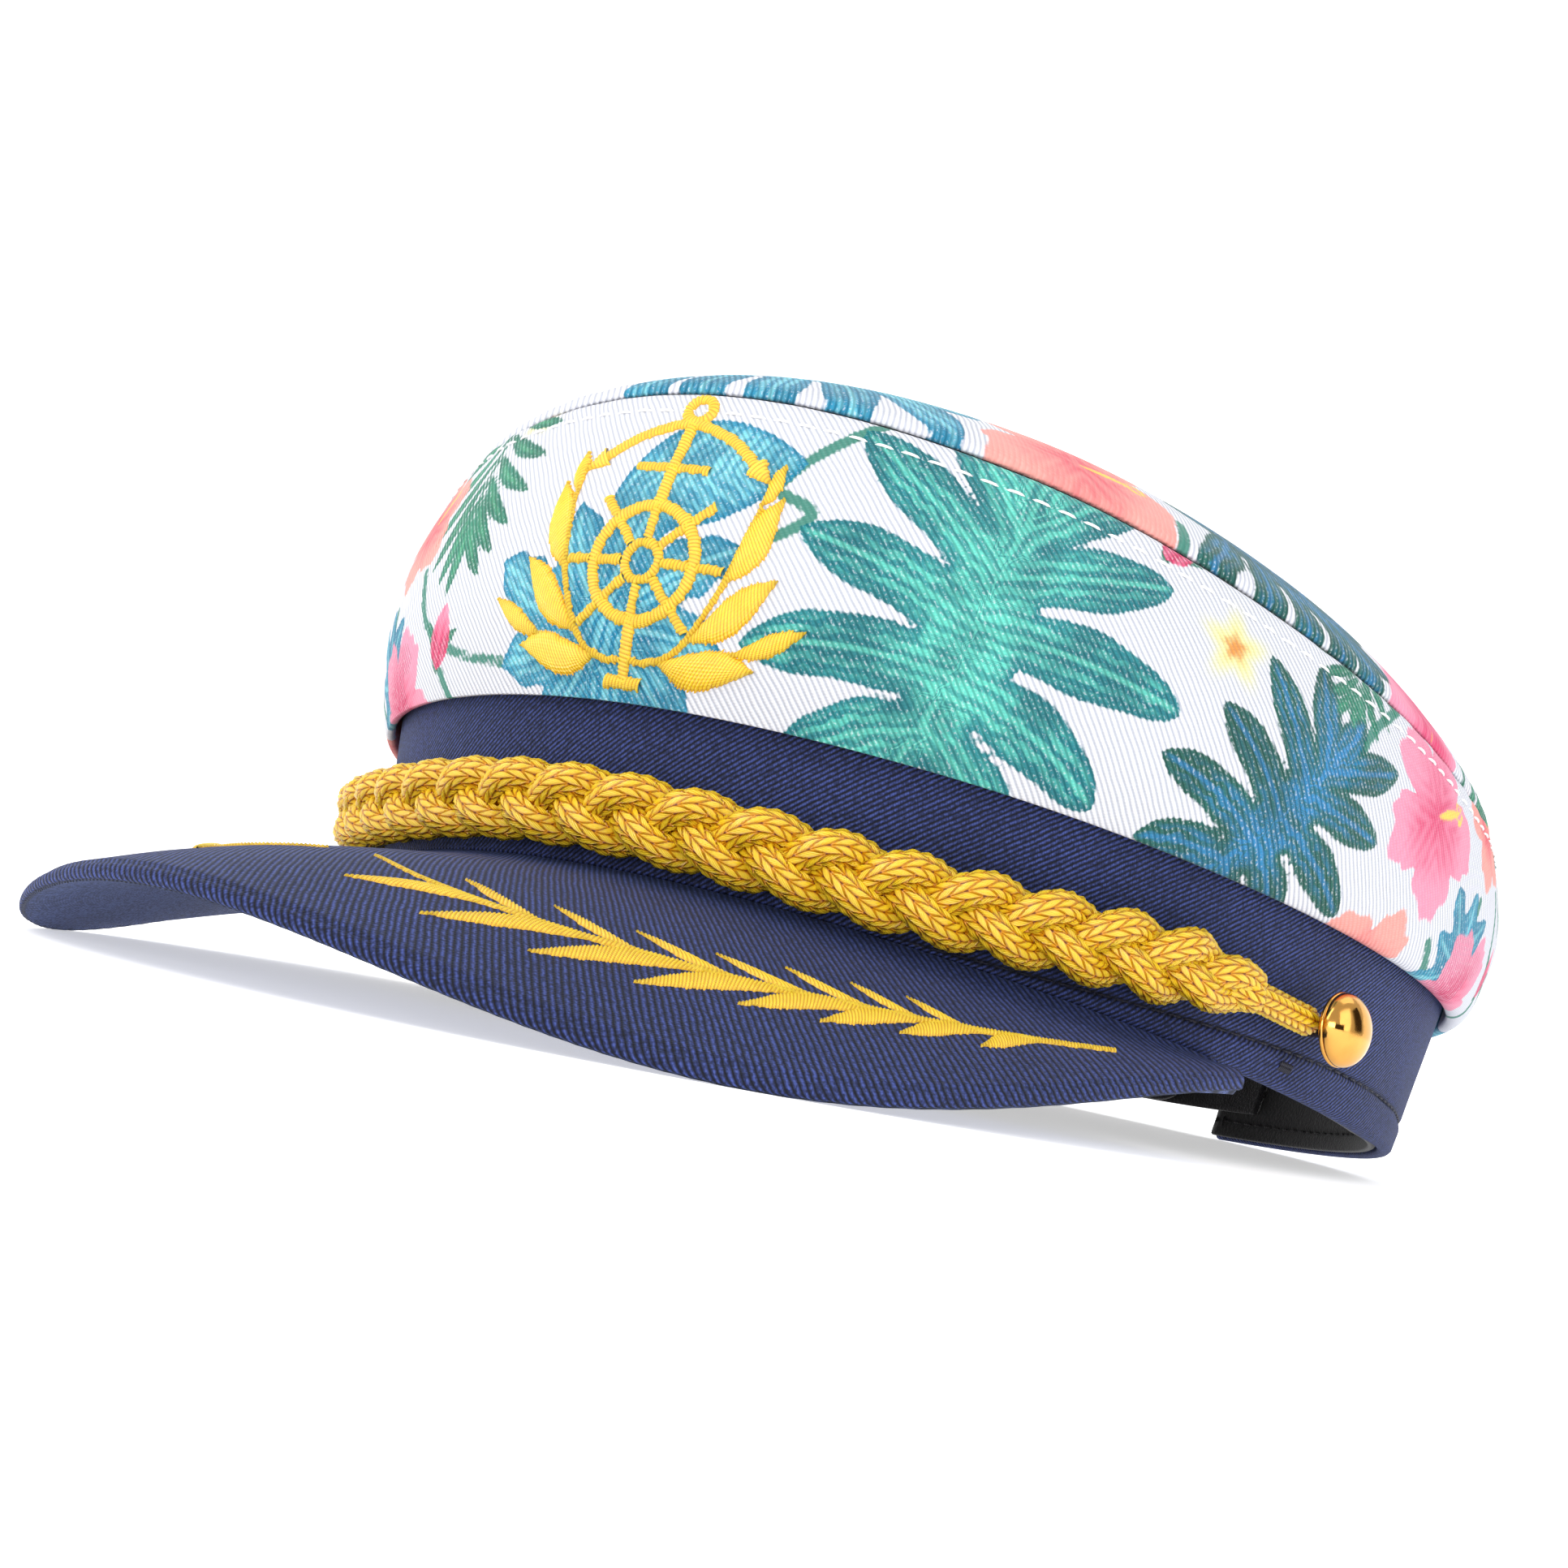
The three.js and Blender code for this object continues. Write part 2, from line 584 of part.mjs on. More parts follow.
// The slope of the ground under the hat: the edge of its lower outline, seen from the side,
// that lies below its middle.
function groundSlope(object) {
  const points = [];
  object.updateMatrixWorld(true);
  object.traverse((mesh) => {
    if (!mesh.isMesh) return;
    const place = mesh.geometry.getAttribute("position");
    for (let n = 0; n < place.count; n++) {
      const point = new THREE.Vector3().fromBufferAttribute(place, n).applyMatrix4(mesh.matrixWorld);
      points.push(new THREE.Vector2(point.y, point.z));
    }
  });
  points.sort((a, b) => a.x - b.x || a.y - b.y);
  const lower = [];
  for (const point of points) {
    while (lower.length > 1) {
      const [a, b] = lower.slice(-2);
      if (b.clone().sub(a).cross(point.clone().sub(a)) > 0) break;
      lower.pop();
    }
    lower.push(point);
  }
  const right = lower.findIndex((point) => point.x > 0);
  return lower[right].clone().sub(lower[right - 1]).angle();
}

hat.rotation.x = -groundSlope(hat);
const captainHat = new THREE.Group();
captainHat.add(hat);
captainHat.updateMatrixWorld(true);
const box = new THREE.Box3().setFromObject(captainHat, true);
const middle = box.getCenter(new THREE.Vector3());
hat.position.set(-middle.x, -middle.y, -box.min.z);

export default captainHat;
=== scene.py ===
import json
import math
from collections import namedtuple

import bmesh
import bpy
import numpy as np
from mathutils import Matrix, Vector


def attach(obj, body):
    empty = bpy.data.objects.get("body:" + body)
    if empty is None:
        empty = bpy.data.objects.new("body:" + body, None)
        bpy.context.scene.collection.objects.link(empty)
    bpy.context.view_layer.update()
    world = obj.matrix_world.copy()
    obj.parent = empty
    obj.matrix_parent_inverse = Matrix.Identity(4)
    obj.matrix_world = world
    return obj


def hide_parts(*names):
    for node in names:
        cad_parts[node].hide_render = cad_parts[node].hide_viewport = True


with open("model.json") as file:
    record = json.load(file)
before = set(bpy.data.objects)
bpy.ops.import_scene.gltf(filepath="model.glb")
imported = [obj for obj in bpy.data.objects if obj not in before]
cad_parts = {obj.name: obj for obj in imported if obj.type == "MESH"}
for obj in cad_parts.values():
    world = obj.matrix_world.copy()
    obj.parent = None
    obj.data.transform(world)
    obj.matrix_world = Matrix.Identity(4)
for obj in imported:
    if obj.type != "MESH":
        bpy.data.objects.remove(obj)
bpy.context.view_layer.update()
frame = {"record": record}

# A yacht captain hat: printed crown, navy band and visor, gold plait, embroidery and lining.
# Shapes are worked out in millimetres in the hat's own frame: the front is -Y, the wearer's
# left is +X and Z runs up from the plane of the rim. The head opening's mount gives its place.

bl_info = {
    "name": "Captain hat",
    "version": (1, 0, 0),
    "blender": (4, 5, 0),
    "location": "3D View > Sidebar > Captain hat",
    "description": "Builds the cloth, embroidery, plait and lining of a yacht captain hat",
    "category": "Object",
}

MM = 0.001

# Overall sizes, as the frame's
HALF_LENGTH = 100.0
HALF_WIDTH = 84.0
CROWN_RISE = 65.0
VISOR_REACH = 67.0
VISOR_DROP = 22.6
VISOR_HALF_WIDTH = 82.0

# Cloth walls and clearances
CLEARANCE = 0.3
HEM_CLEARANCE = 0.5
CROWN_WALL = 1.6
BAND_WALL = 2.2
SWEATBAND_WALL = 1.4
VISOR_THICKNESS = 3.4
STRAP_WALL = 1.2

# The band
BAND_HEIGHT = 24.0
BAND_FLARE = 0.16
RIM_SAG = 3.8
GAP_HALF_ANGLE = 23.5
SWEATBAND_HEIGHT = 27.0
SWEATBAND_SETBACK = 0.6

# The crown
FOLD_HEIGHT = 21.0
FOLD_OVERHANG = 3.6
HEM_HEIGHT = 5.0
SEAM_OVERHANG = 6.6
SEAM_SHIFT = 0.9
SEAM_DEPTH = 1.3
WALL_BULGE = 4.4
TOP_DOME = 19.0
ARCH_RISE = 19.0
ARCH_POWER = 2.6

# The visor
VISOR_END_ANGLE = 60.0
VISOR_EDGE_SWEEP = 76.0
VISOR_EDGE_BACK = 23.0
VISOR_TUCK = 3.4
VISOR_CAMBER = 1.6
VISOR_CAMBER_ANGLE = 80.0
EDGE_RADIUS = 1.15
EDGE_DRAW = 0.16
EDGE_LIFT = 0.4
EDGE_DROP_RISE = 1.345
EDGE_DROP_FALL = 2.145

# Buttons, cords and strap
BUTTON_RADIUS = 5.2
BUTTON_DOME = 4.0
BUTTON_RIM = 0.8
BUTTON_ANGLE = 69.5
BUTTON_HEIGHT = 6.2
SHANK_RADIUS = 1.5
CORD_RADIUS = 2.3
END_CORD_RADIUS = 2.0
PLAIT_WIDTH = 10.8
PLAIT_DEPTH = 7.8
PLAIT_PITCHES = 7
PLAIT_END_ANGLE = 60.0
PLAIT_HEIGHT = 4.6
PLAIT_LIFT = 1.8
STRAP_HEIGHT = 16.0
STRAP_LIFT = 5.2
STRAP_LAP = 24.0
STRAP_TUCK = 12.0

# The crown's sections from the front to the back, left and right alike, one value each 30
# degrees: the roll's height and stand-off, the seam's height and stand-off, and the belly.
SECTION_STEP = 30.0
SECTIONS = {
    "roll": (1.0, 0.97, 0.93, 0.94, 1.03, 1.04, 1.04),
    "roll_out": (0.5, 0.5, 0.65, 1.0, 1.0, 1.0, 1.0),
    "seam": (1.0, 0.94, 0.825, 0.745, 0.77, 0.83, 0.85),
    "seam_out": (0.9, 0.95, 1.0, 1.0, 1.0, 1.0, 1.0),
    "belly": (1.0, 0.95, 0.85, 0.65, 0.6, 0.6, 0.6),
}

# Soft dents: of the wall by height share and degrees of reach, of the top by shares.
Dent = namedtuple("Dent", "angle place reach depth")
WALL_DENTS = (
    Dent(76, 0.45, 16, -0.2),
    Dent(112, 0.6, 14, 0.16),
    Dent(-60, 0.5, 15, -0.16),
    Dent(-118, 0.4, 16, 0.14),
)
TOP_DENTS = (
    Dent(62, 0.55, 0.36, -0.16),
    Dent(100, 0.72, 0.2, 0.12),
    Dent(-75, 0.5, 0.34, -0.12),
    Dent(155, 0.6, 0.3, 0.08),
)

# The print. Places are in millimetres on the cloth: round the wall from the front and up from
# the roll, or across and back on the top panel. Turn is clockwise, in degrees.
Motif = namedtuple("Motif", "kind across up turn size tone")
PRINT_REPEAT = 215.0
WALL_MOTIFS = (
    Motif("split_leaf", 49, 19, 10, 29, "mint"),
    Motif("split_leaf", 98, 10, 32, 20, "forest"),
    Motif("frond", -37, 38, 168, 21, "palm"),
    Motif("hibiscus", -54, 29, 20, 11, "coral"),
    Motif("bud", -37.5, 8, 12, 6, "rose"),
    Motif("hibiscus", -55, -1, 140, 14, "rose"),
    Motif("rosette", -1, 9, 15, 23, "lagoon"),
    Motif("broad_leaf", 9, 31, 70, 14, "lagoon"),
    Motif("glow", 84.4, 29, 0, 7, "pollen"),
    Motif("glow", -30, 45, 0, 6, "pollen"),
    Motif("hibiscus", 133, 22, 60, 15, "rose"),
    Motif("hibiscus", 127, -6, 200, 13, "coral"),
    Motif("rosette", 154, 5, 40, 14, "lagoon"),
    Motif("frond", 112, 40, 205, 15, "palm"),
    Motif("bud", 74, 40, 40, 5, "rose"),
)
WALL_STEMS = (
    ((-47, 20), (-42, 11), (-31, 6), (-17, 4)),
    ((-37, 4), (-33, -1), (-28, -4)),
    ((19, 31), (23, 37), (31, 45)),
    ((19, 31), (25, 28), (18, 22)),
    ((140, 5), (146, 1), (153, 6), (156, 16)),
    ((120, 34), (112, 27), (108, 18)),
)
TOP_MOTIFS = (
    Motif("split_leaf", 6, -90, 75, 25, "lagoon"),
    Motif("hibiscus", 47, -80, 30, 15, "coral"),
    Motif("split_leaf", 68, -52, 40, 19, "forest"),
    Motif("glow", 53, -58, 0, 7, "pollen"),
    Motif("hibiscus", 86, -26, 80, 13, "rose"),
    Motif("frond", 78, -2, 60, 22, "palm"),
    Motif("hibiscus", 92, 22, 10, 12, "coral"),
    Motif("split_leaf", 32, -28, 335, 28, "mint"),
    Motif("hibiscus", -24, -52, 70, 15, "rose"),
    Motif("rosette", -58, -56, 10, 21, "lagoon"),
    Motif("frond", -30, -12, 300, 25, "palm"),
    Motif("split_leaf", -76, -14, 290, 21, "forest"),
    Motif("hibiscus", 2, 14, 0, 16, "coral"),
    Motif("glow", -8, -28, 0, 7, "pollen"),
    Motif("split_leaf", 48, 36, 120, 26, "mint"),
    Motif("rosette", -40, 34, 45, 20, "lagoon"),
    Motif("split_leaf", 4, 62, 200, 22, "forest"),
    Motif("hibiscus", 56, 76, 50, 13, "rose"),
    Motif("frond", -12, 96, 80, 21, "palm"),
    Motif("split_leaf", -66, 66, 230, 24, "mint"),
    Motif("hibiscus", -84, 28, 15, 12, "rose"),
    Motif("bud", 22, 90, 30, 6, "rose"),
    Motif("bud", -50, 4, 120, 6, "rose"),
    Motif("glow", 26, 56, 0, 7, "pollen"),
)
TOP_STEMS = (
    ((60, -72), (66, -78), (76, -76)),
    ((-24, -36), (-16, -24), (-18, -10)),
    ((14, 20), (24, 26), (34, 30)),
    ((-56, 20), (-64, 14), (-74, 12)),
    ((34, 84), (26, 84), (14, 80)),
)
STEM_WIDTH = 1.7
FINGERS = ((126, 0.8), (104, 0.92), (84, 0.95), (63, 0.9), (40, 0.8))
FAR = 99.0

# How far the legs of a knitted stitch slant, in courses
KNIT_SLANT = 0.95

# The anchor badge, in millimetres from the roll up and from its own middle line across.
BADGE_MIDDLE = 3.6
BadgeLeaf = namedtuple("BadgeLeaf", "base tip width")
BADGE_LEAVES = (
    BadgeLeaf((14.4, 27.2), (16.0, 34.0), 1.4),
    BadgeLeaf((12.2, 15.6), (17.3, 29.2), 2.7),
    BadgeLeaf((8.2, 7.8), (19.6, 18.2), 2.9),
    BadgeLeaf((14.8, 7.6), (24.8, 12.7), 1.8),
    BadgeLeaf((4.0, 5.4), (19.0, 6.4), 3.4),
)
RING_PLACE = 40.8
RING_RADIUS = 1.9
ARM_TOP = 38.4
ARM_END = (13.2, 32.0)
ARROW_LENGTH = 3.4
STOCK_PLACE = 31.3
STOCK_REACH = 5.7
WHEEL_PLACE = 17.9
WHEEL_RADIUS = 7.7
HUB_RADIUS = 2.5
SPOKE_COUNT = 8
SPOKE_INSIDE = 3.1
HANDLE_REACH = 12.0
FOOT_PLACE = 2.4
FOOT_REACH = 2.9
LINE_WIDTH = 0.76
WHEEL_WIDTH = 0.96

# The visor's laurels, in shares of the visor's sweep and of its depth.
LAUREL_STEM = (
    (0.83, 0.575), (0.68, 0.55), (0.54, 0.56), (0.4, 0.62), (0.26, 0.68), (0.14, 0.68), (0.035, 0.61),
)
LaurelLeaf = namedtuple("LaurelLeaf", "along out reach width")
LAUREL_LEAVES = (
    LaurelLeaf(0.105, 0.8, 0.125, 1.9),
    LaurelLeaf(0.205, 0.84, 0.13, 2.1),
    LaurelLeaf(0.3, 0.82, 0.13, 2.2),
    LaurelLeaf(0.385, 0.785, 0.125, 2.2),
    LaurelLeaf(0.465, 0.73, 0.115, 2.1),
    LaurelLeaf(0.535, 0.705, 0.1, 2.0),
    LaurelLeaf(0.605, 0.675, 0.09, 1.9),
    LaurelLeaf(0.685, 0.68, 0.07, 1.7),
    LaurelLeaf(0.145, 0.595, 0.12, 1.3),
    LaurelLeaf(0.235, 0.565, 0.12, 1.35),
    LaurelLeaf(0.315, 0.535, 0.12, 1.35),
    LaurelLeaf(0.39, 0.5, 0.115, 1.3),
    LaurelLeaf(0.45, 0.44, 0.11, 1.25),
    LaurelLeaf(0.515, 0.41, 0.1, 1.2),
    LaurelLeaf(0.575, 0.4, 0.09, 1.1),
)

# Rows of points in each embroidery thread, and faces across it
THREAD_ROWS = 4
SATIN_COLUMNS = 8

# Mesh columns round the crown wall: from one side of the arch to the other, and over the arch.
# The roll column is the one, of each column's points, from which heights on the cloth count.
WALL_COLUMNS = 700
ARCH_COLUMNS = 90
ROLL_COLUMN = 8
PANEL_ROWS = 720
PANEL_COLUMNS = 82
VISOR_ROWS = 330
VISOR_COLUMNS = 66

# Stitches: points along each one, sides of its thread, and how far its ends dip
STITCH_POINTS = 7
STITCH_SIDES = 6
STITCH_DIP = 0.55

# Slants of the twills' ribs, in degrees
CROWN_SLANT = 40
BAND_SLANT = 128
VISOR_SLANT = -35
UNDER_SLANT = 28

# The stage, in metres: how far the floor reaches, its bend up into the backdrop, and the lights
FLOOR_REACH = 14.0
FLOOR_BEND = 1.2
BACKDROP_HEIGHT = 4.0
FLOOR_TURN = -28
Lamp = namedtuple("Lamp", "name power place size colour")
LAMPS = (
    Lamp("key_light", "key", (-0.55, -0.75, 0.85), (0.9, 0.9), (1.0, 0.985, 0.96)),
    Lamp("fill_light", "fill", (0.95, -0.35, 0.45), (0.7, 0.9), (0.95, 0.97, 1.0)),
    Lamp("top_light", "fill", (0.1, 0.35, 1.1), (1.2, 0.8), (1.0, 1.0, 1.0)),
    Lamp("low_light", "low", (0.2, -0.95, 0.16), (0.7, 0.22), (1.0, 1.0, 1.0)),
)

# The screen's colour curve is straight below its knee and a power above it.
SRGB_KNEE = 0.04045


def linear(red, green, blue):
    """A colour as it is seen on a screen, from 0 to 255, as linear light."""
    shares = [channel / 255 for channel in (red, green, blue)]
    return tuple(c / 12.92 if c <= SRGB_KNEE else ((c + 0.055) / 1.055) ** 2.4 for c in shares)


def colour_setting(name, description, red, green, blue):
    return bpy.props.FloatVectorProperty(
        name=name, description=description, subtype="COLOR", size=3, min=0, max=1,
        default=linear(red, green, blue),
    )


def length_setting(name, description, millimetres):
    return bpy.props.FloatProperty(
        name=name, description=description, unit="LENGTH", min=0, precision=5,
        default=millimetres * MM,
    )


class HatSizes(bpy.types.PropertyGroup):
    """Sizes of the threads, ribs and stitches."""

    crown_rib: length_setting("Crown rib", "Width of one rib of the printed twill", 0.76)
    navy_rib: length_setting("Navy rib", "Width of one rib of the navy twill", 0.64)
    visor_rib: length_setting("Visor rib", "Width of one rib of the visor's twill", 0.66)
    seam_stitch: length_setting("Seam stitch", "Length of a stitch beside the top seam", 2.6)
    seam_gap: length_setting("Seam gap", "Gap between the stitches beside the top seam", 1.0)
    seam_offset: length_setting("Seam offset", "From the top seam to its row of stitches", 4.2)
    band_stitch: length_setting("Band stitch", "Length of a stitch on the band", 2.4)
    stitch_radius: length_setting("Stitch thickness", "Half the thickness of sewing thread", 0.2)
    satin_pitch: length_setting("Satin pitch", "Spacing of the embroidery threads", 0.5)
    satin_rise: length_setting("Satin rise", "How far wide satin stitches stand up", 1.1)
    knit_course: length_setting("Knit course", "Length of one stitch of the plait's cords", 1.8)
    knit_relief: length_setting("Knit relief", "Depth of the cords' knitted stitches", 0.6)


class HatColours(bpy.types.PropertyGroup):
    """Colours of the cloths, threads and the print."""

    cloth: colour_setting("Cloth", "Ground of the printed cloth", 238, 239, 245)
    navy: colour_setting("Navy", "Band and upper face of the visor", 26, 40, 92)
    navy_under: colour_setting("Navy underside", "Under face of the visor", 58, 72, 118)
    lining: colour_setting("Lining", "Lining, sweatband and strap", 14, 13, 15)
    yarn: colour_setting("Yarn", "Cords of the plait", 255, 214, 36)
    satin: colour_setting("Satin", "Embroidery thread", 255, 220, 48)
    gold: colour_setting("Gold", "Buttons", 232, 172, 84)
    mint_light: colour_setting("Mint, light", "Heart of the light leaves", 100, 216, 196)
    mint_dark: colour_setting("Mint, dark", "Edge of the light leaves", 6, 126, 136)
    forest_light: colour_setting("Forest, light", "Heart of the dark leaves", 34, 132, 186)
    forest_dark: colour_setting("Forest, dark", "Edge of the dark leaves", 16, 98, 84)
    lagoon_light: colour_setting("Lagoon, light", "Heart of the blue leaves", 128, 214, 228)
    lagoon_dark: colour_setting("Lagoon, dark", "Edge of the blue leaves", 8, 138, 176)
    palm_light: colour_setting("Palm, light", "Heart of the palm leaves", 86, 190, 138)
    palm_dark: colour_setting("Palm, dark", "Edge of the palm leaves", 28, 128, 104)
    coral_light: colour_setting("Coral, light", "Edge of the coral flowers", 252, 170, 158)
    coral_dark: colour_setting("Coral, dark", "Heart of the coral flowers", 238, 88, 104)
    rose_light: colour_setting("Rose, light", "Edge of the pink flowers", 252, 158, 186)
    rose_dark: colour_setting("Rose, dark", "Heart of the pink flowers", 226, 58, 112)
    pollen: colour_setting("Pollen", "Stamens and small yellow flowers", 250, 222, 92)
    amber: colour_setting("Amber", "Middle of the small yellow flowers", 228, 140, 60)
    stem: colour_setting("Stem", "Stems of the print", 40, 132, 112)


class HatStage(bpy.types.PropertyGroup):
    """The camera and the lights."""

    eye: bpy.props.FloatVectorProperty(
        name="Eye", description="Where the camera stands", subtype="XYZ", unit="LENGTH", size=3,
        default=(0.1518, -0.2772, 0.009),
    )
    aim: bpy.props.FloatVectorProperty(
        name="Aim", description="What the camera looks at", subtype="XYZ", unit="LENGTH", size=3,
        default=(-0.0151, 0.0, 0.0453),
    )
    roll: bpy.props.FloatProperty(
        name="Roll", description="Turn of the camera about its line of sight", subtype="ANGLE",
        default=math.radians(11.54),
    )
    lens: bpy.props.FloatProperty(
        name="Lens", description="Focal length of the camera", unit="CAMERA", default=44.5
    )
    key: bpy.props.FloatProperty(
        name="Key light", description="Power of the main light", unit="POWER", default=5.6
    )
    fill: bpy.props.FloatProperty(
        name="Fill light", description="Power of the side light", unit="POWER", default=3.0
    )
    low: bpy.props.FloatProperty(
        name="Low light", description="Power of the light in front", unit="POWER", default=2.6
    )
    sky: bpy.props.FloatProperty(
        name="Sky", description="Strength of the light from all round", default=0.66
    )


def size_of(name):
    """A size of the thread and rib settings, in millimetres."""
    return getattr(bpy.context.scene.hat_sizes, name) / MM


def colour_of(name):
    return tuple(getattr(bpy.context.scene.hat_colours, name))


def tinted(colour, *factors):
    """A colour with its channels scaled, by one factor for all or by three."""
    return tuple(channel * factor for channel, factor in zip(colour, factors * 3))


# Place of the hat's own frame in the row frame
def hat_axes():
    """The middle of the rim in metres, and the hat's axes as columns."""
    opening = next(m for m in frame["record"]["mounts"] if m["name"] == "head_opening")
    up = -np.array(opening["axis"])
    left = np.array([1.0, 0.0, 0.0])
    return np.array(opening["pos_m"]), np.stack([left, np.cross(up, left), up], 1)


RIM_MIDDLE, HAT_AXES = hat_axes()


def in_row_frame(points):
    return RIM_MIDDLE + (points @ HAT_AXES.T) * MM


# Formulas of the hat's surfaces
def section(key, degrees):
    """A smooth value between the rows of the crown's table."""
    rows = np.array(SECTIONS[key])
    last = len(rows) - 1
    place = np.abs(degrees) / SECTION_STEP
    row = np.minimum(last - 1, np.floor(place)).astype(int)
    t = place - row
    mirrored = np.concatenate([rows[1:2], rows, rows[-2:-1]])
    before, start, end, after = (mirrored[row + k] for k in range(4))
    bend = 2 * before - 5 * start + 4 * end - after
    twist = 3 * (start - end) + after - before
    return start + 0.5 * t * (end - before + t * (bend + t * twist))


def rim_point(degrees, out, z):
    """A point at an angle round the rim's oval, moved out along the oval's normal."""
    angle = np.radians(degrees)
    across = np.sin(angle) / HALF_WIDTH
    ahead = -np.cos(angle) / HALF_LENGTH
    length = np.hypot(across, ahead)
    x = HALF_WIDTH * np.sin(angle) + out * across / length
    y = -HALF_LENGTH * np.cos(angle) + out * ahead / length
    return np.stack(np.broadcast_arrays(x, y, z), -1).astype(float)


def rim_height(y):
    along = np.clip(y / HALF_LENGTH, -1, 1)
    return -RIM_SAG * (1 - np.where(along < 0, along * along, along))


def rim_outward(degrees):
    """The direction straight out from the rim's oval."""
    return unit(rim_point(degrees, 1.0, 0.0) - rim_point(degrees, 0.0, 0.0))


def turn_between(a, b):
    return np.abs((a - b + 540) % 360 - 180)


def bump(distance):
    return np.where(distance < 1, (1 - distance * distance) ** 2, 0)


def smoothstep(value, low, high):
    t = np.clip((value - low) / (high - low), 0, 1)
    return t * t * (3 - 2 * t)


def arch_rise(degrees):
    """How far the crown's lower edge arches up over the gap at the back."""
    from_back = turn_between(degrees, 180) / GAP_HALF_ANGLE
    return ARCH_RISE * np.clip(1 - from_back ** ARCH_POWER, 0, 1) ** 0.5


def fold_height(degrees):
    """The lower edge of the crown's roll."""
    return FOLD_HEIGHT * section("roll", degrees) + arch_rise(degrees)


def seam_height(degrees):
    return CROWN_RISE * section("seam", degrees)


def seam_point(degrees, out, z):
    point = rim_point(degrees, SEAM_OVERHANG * section("seam_out", degrees) + out, z)
    point[..., 1] += SEAM_SHIFT
    return point


def wall_point(degrees, share, lift=0.0):
    """A point of the crown wall, from the bottom of the roll (0) to the seam (1)."""
    degrees, share = np.broadcast_arrays(np.asarray(degrees, float), np.asarray(share, float))
    swell = section("belly", degrees) * WALL_BULGE * np.sin(np.pi * np.clip(share, 0, 1) ** 0.95)
    for dent in WALL_DENTS:
        away = np.hypot(turn_between(degrees, dent.angle) / dent.reach, (share - dent.place) / 0.45)
        swell = swell + WALL_BULGE * dent.depth * bump(away)
    overhang = BAND_FLARE * FOLD_HEIGHT + FOLD_OVERHANG * section("roll_out", degrees)
    foot = rim_point(degrees, overhang + swell + lift, fold_height(degrees))
    head = seam_point(degrees, swell + lift, seam_height(degrees))
    return foot + (head - foot) * share[..., None]


def top_point(degrees, share, lift=0.0):
    """A point of the top panel, from its middle (0) to the seam (1)."""
    degrees, share = np.broadcast_arrays(np.asarray(degrees, float), np.asarray(share, float))
    middle = np.array([0, SEAM_SHIFT, 0])
    point = middle + (seam_point(degrees, 0, 0) - middle) * share[..., None]
    level = (seam_height(0.0) + seam_height(180.0)) / 2
    height = level + (seam_height(degrees) - level) * share**2 + TOP_DOME * (1 - share**5)
    for dent in TOP_DENTS:
        centre = middle + (seam_point(float(dent.angle), 0, 0) - middle) * dent.place
        away = np.hypot(point[..., 0] - centre[0], point[..., 1] - centre[1])
        height = height + TOP_DOME * dent.depth * bump(away / (dent.reach * HALF_WIDTH))
    point[..., 2] = height + lift
    return point


def visor_edge(along):
    sweep = np.radians(along * VISOR_EDGE_SWEEP)
    across = np.sin(sweep)
    drop = VISOR_DROP * (1 + EDGE_DROP_RISE * across**2 - EDGE_DROP_FALL * across**4)
    ahead = VISOR_EDGE_BACK + (HALF_LENGTH + VISOR_REACH - VISOR_EDGE_BACK) * np.cos(sweep)
    return np.stack([VISOR_HALF_WIDTH * across, -ahead, -drop], -1)


def visor_point(along, out, lift=0.0):
    """A point of the visor's lower face from the band (0) to the edge (1), raised by a lift."""
    along, out = np.broadcast_arrays(np.asarray(along, float), np.asarray(out, float))
    seat = rim_point(along * VISOR_END_ANGLE, np.where(out < 0, -VISOR_TUCK, CLEARANCE), 0.0)
    seat[..., 2] = rim_height(seat[..., 1]) - CLEARANCE - VISOR_THICKNESS
    share = np.clip(out, 0, 1)
    point = seat + (visor_edge(along) - seat) * share[..., None]
    bow = np.sin(np.pi * share**1.4) * np.cos(np.radians(along * VISOR_CAMBER_ANGLE))
    point[..., 2] += VISOR_CAMBER * bow + lift
    return point


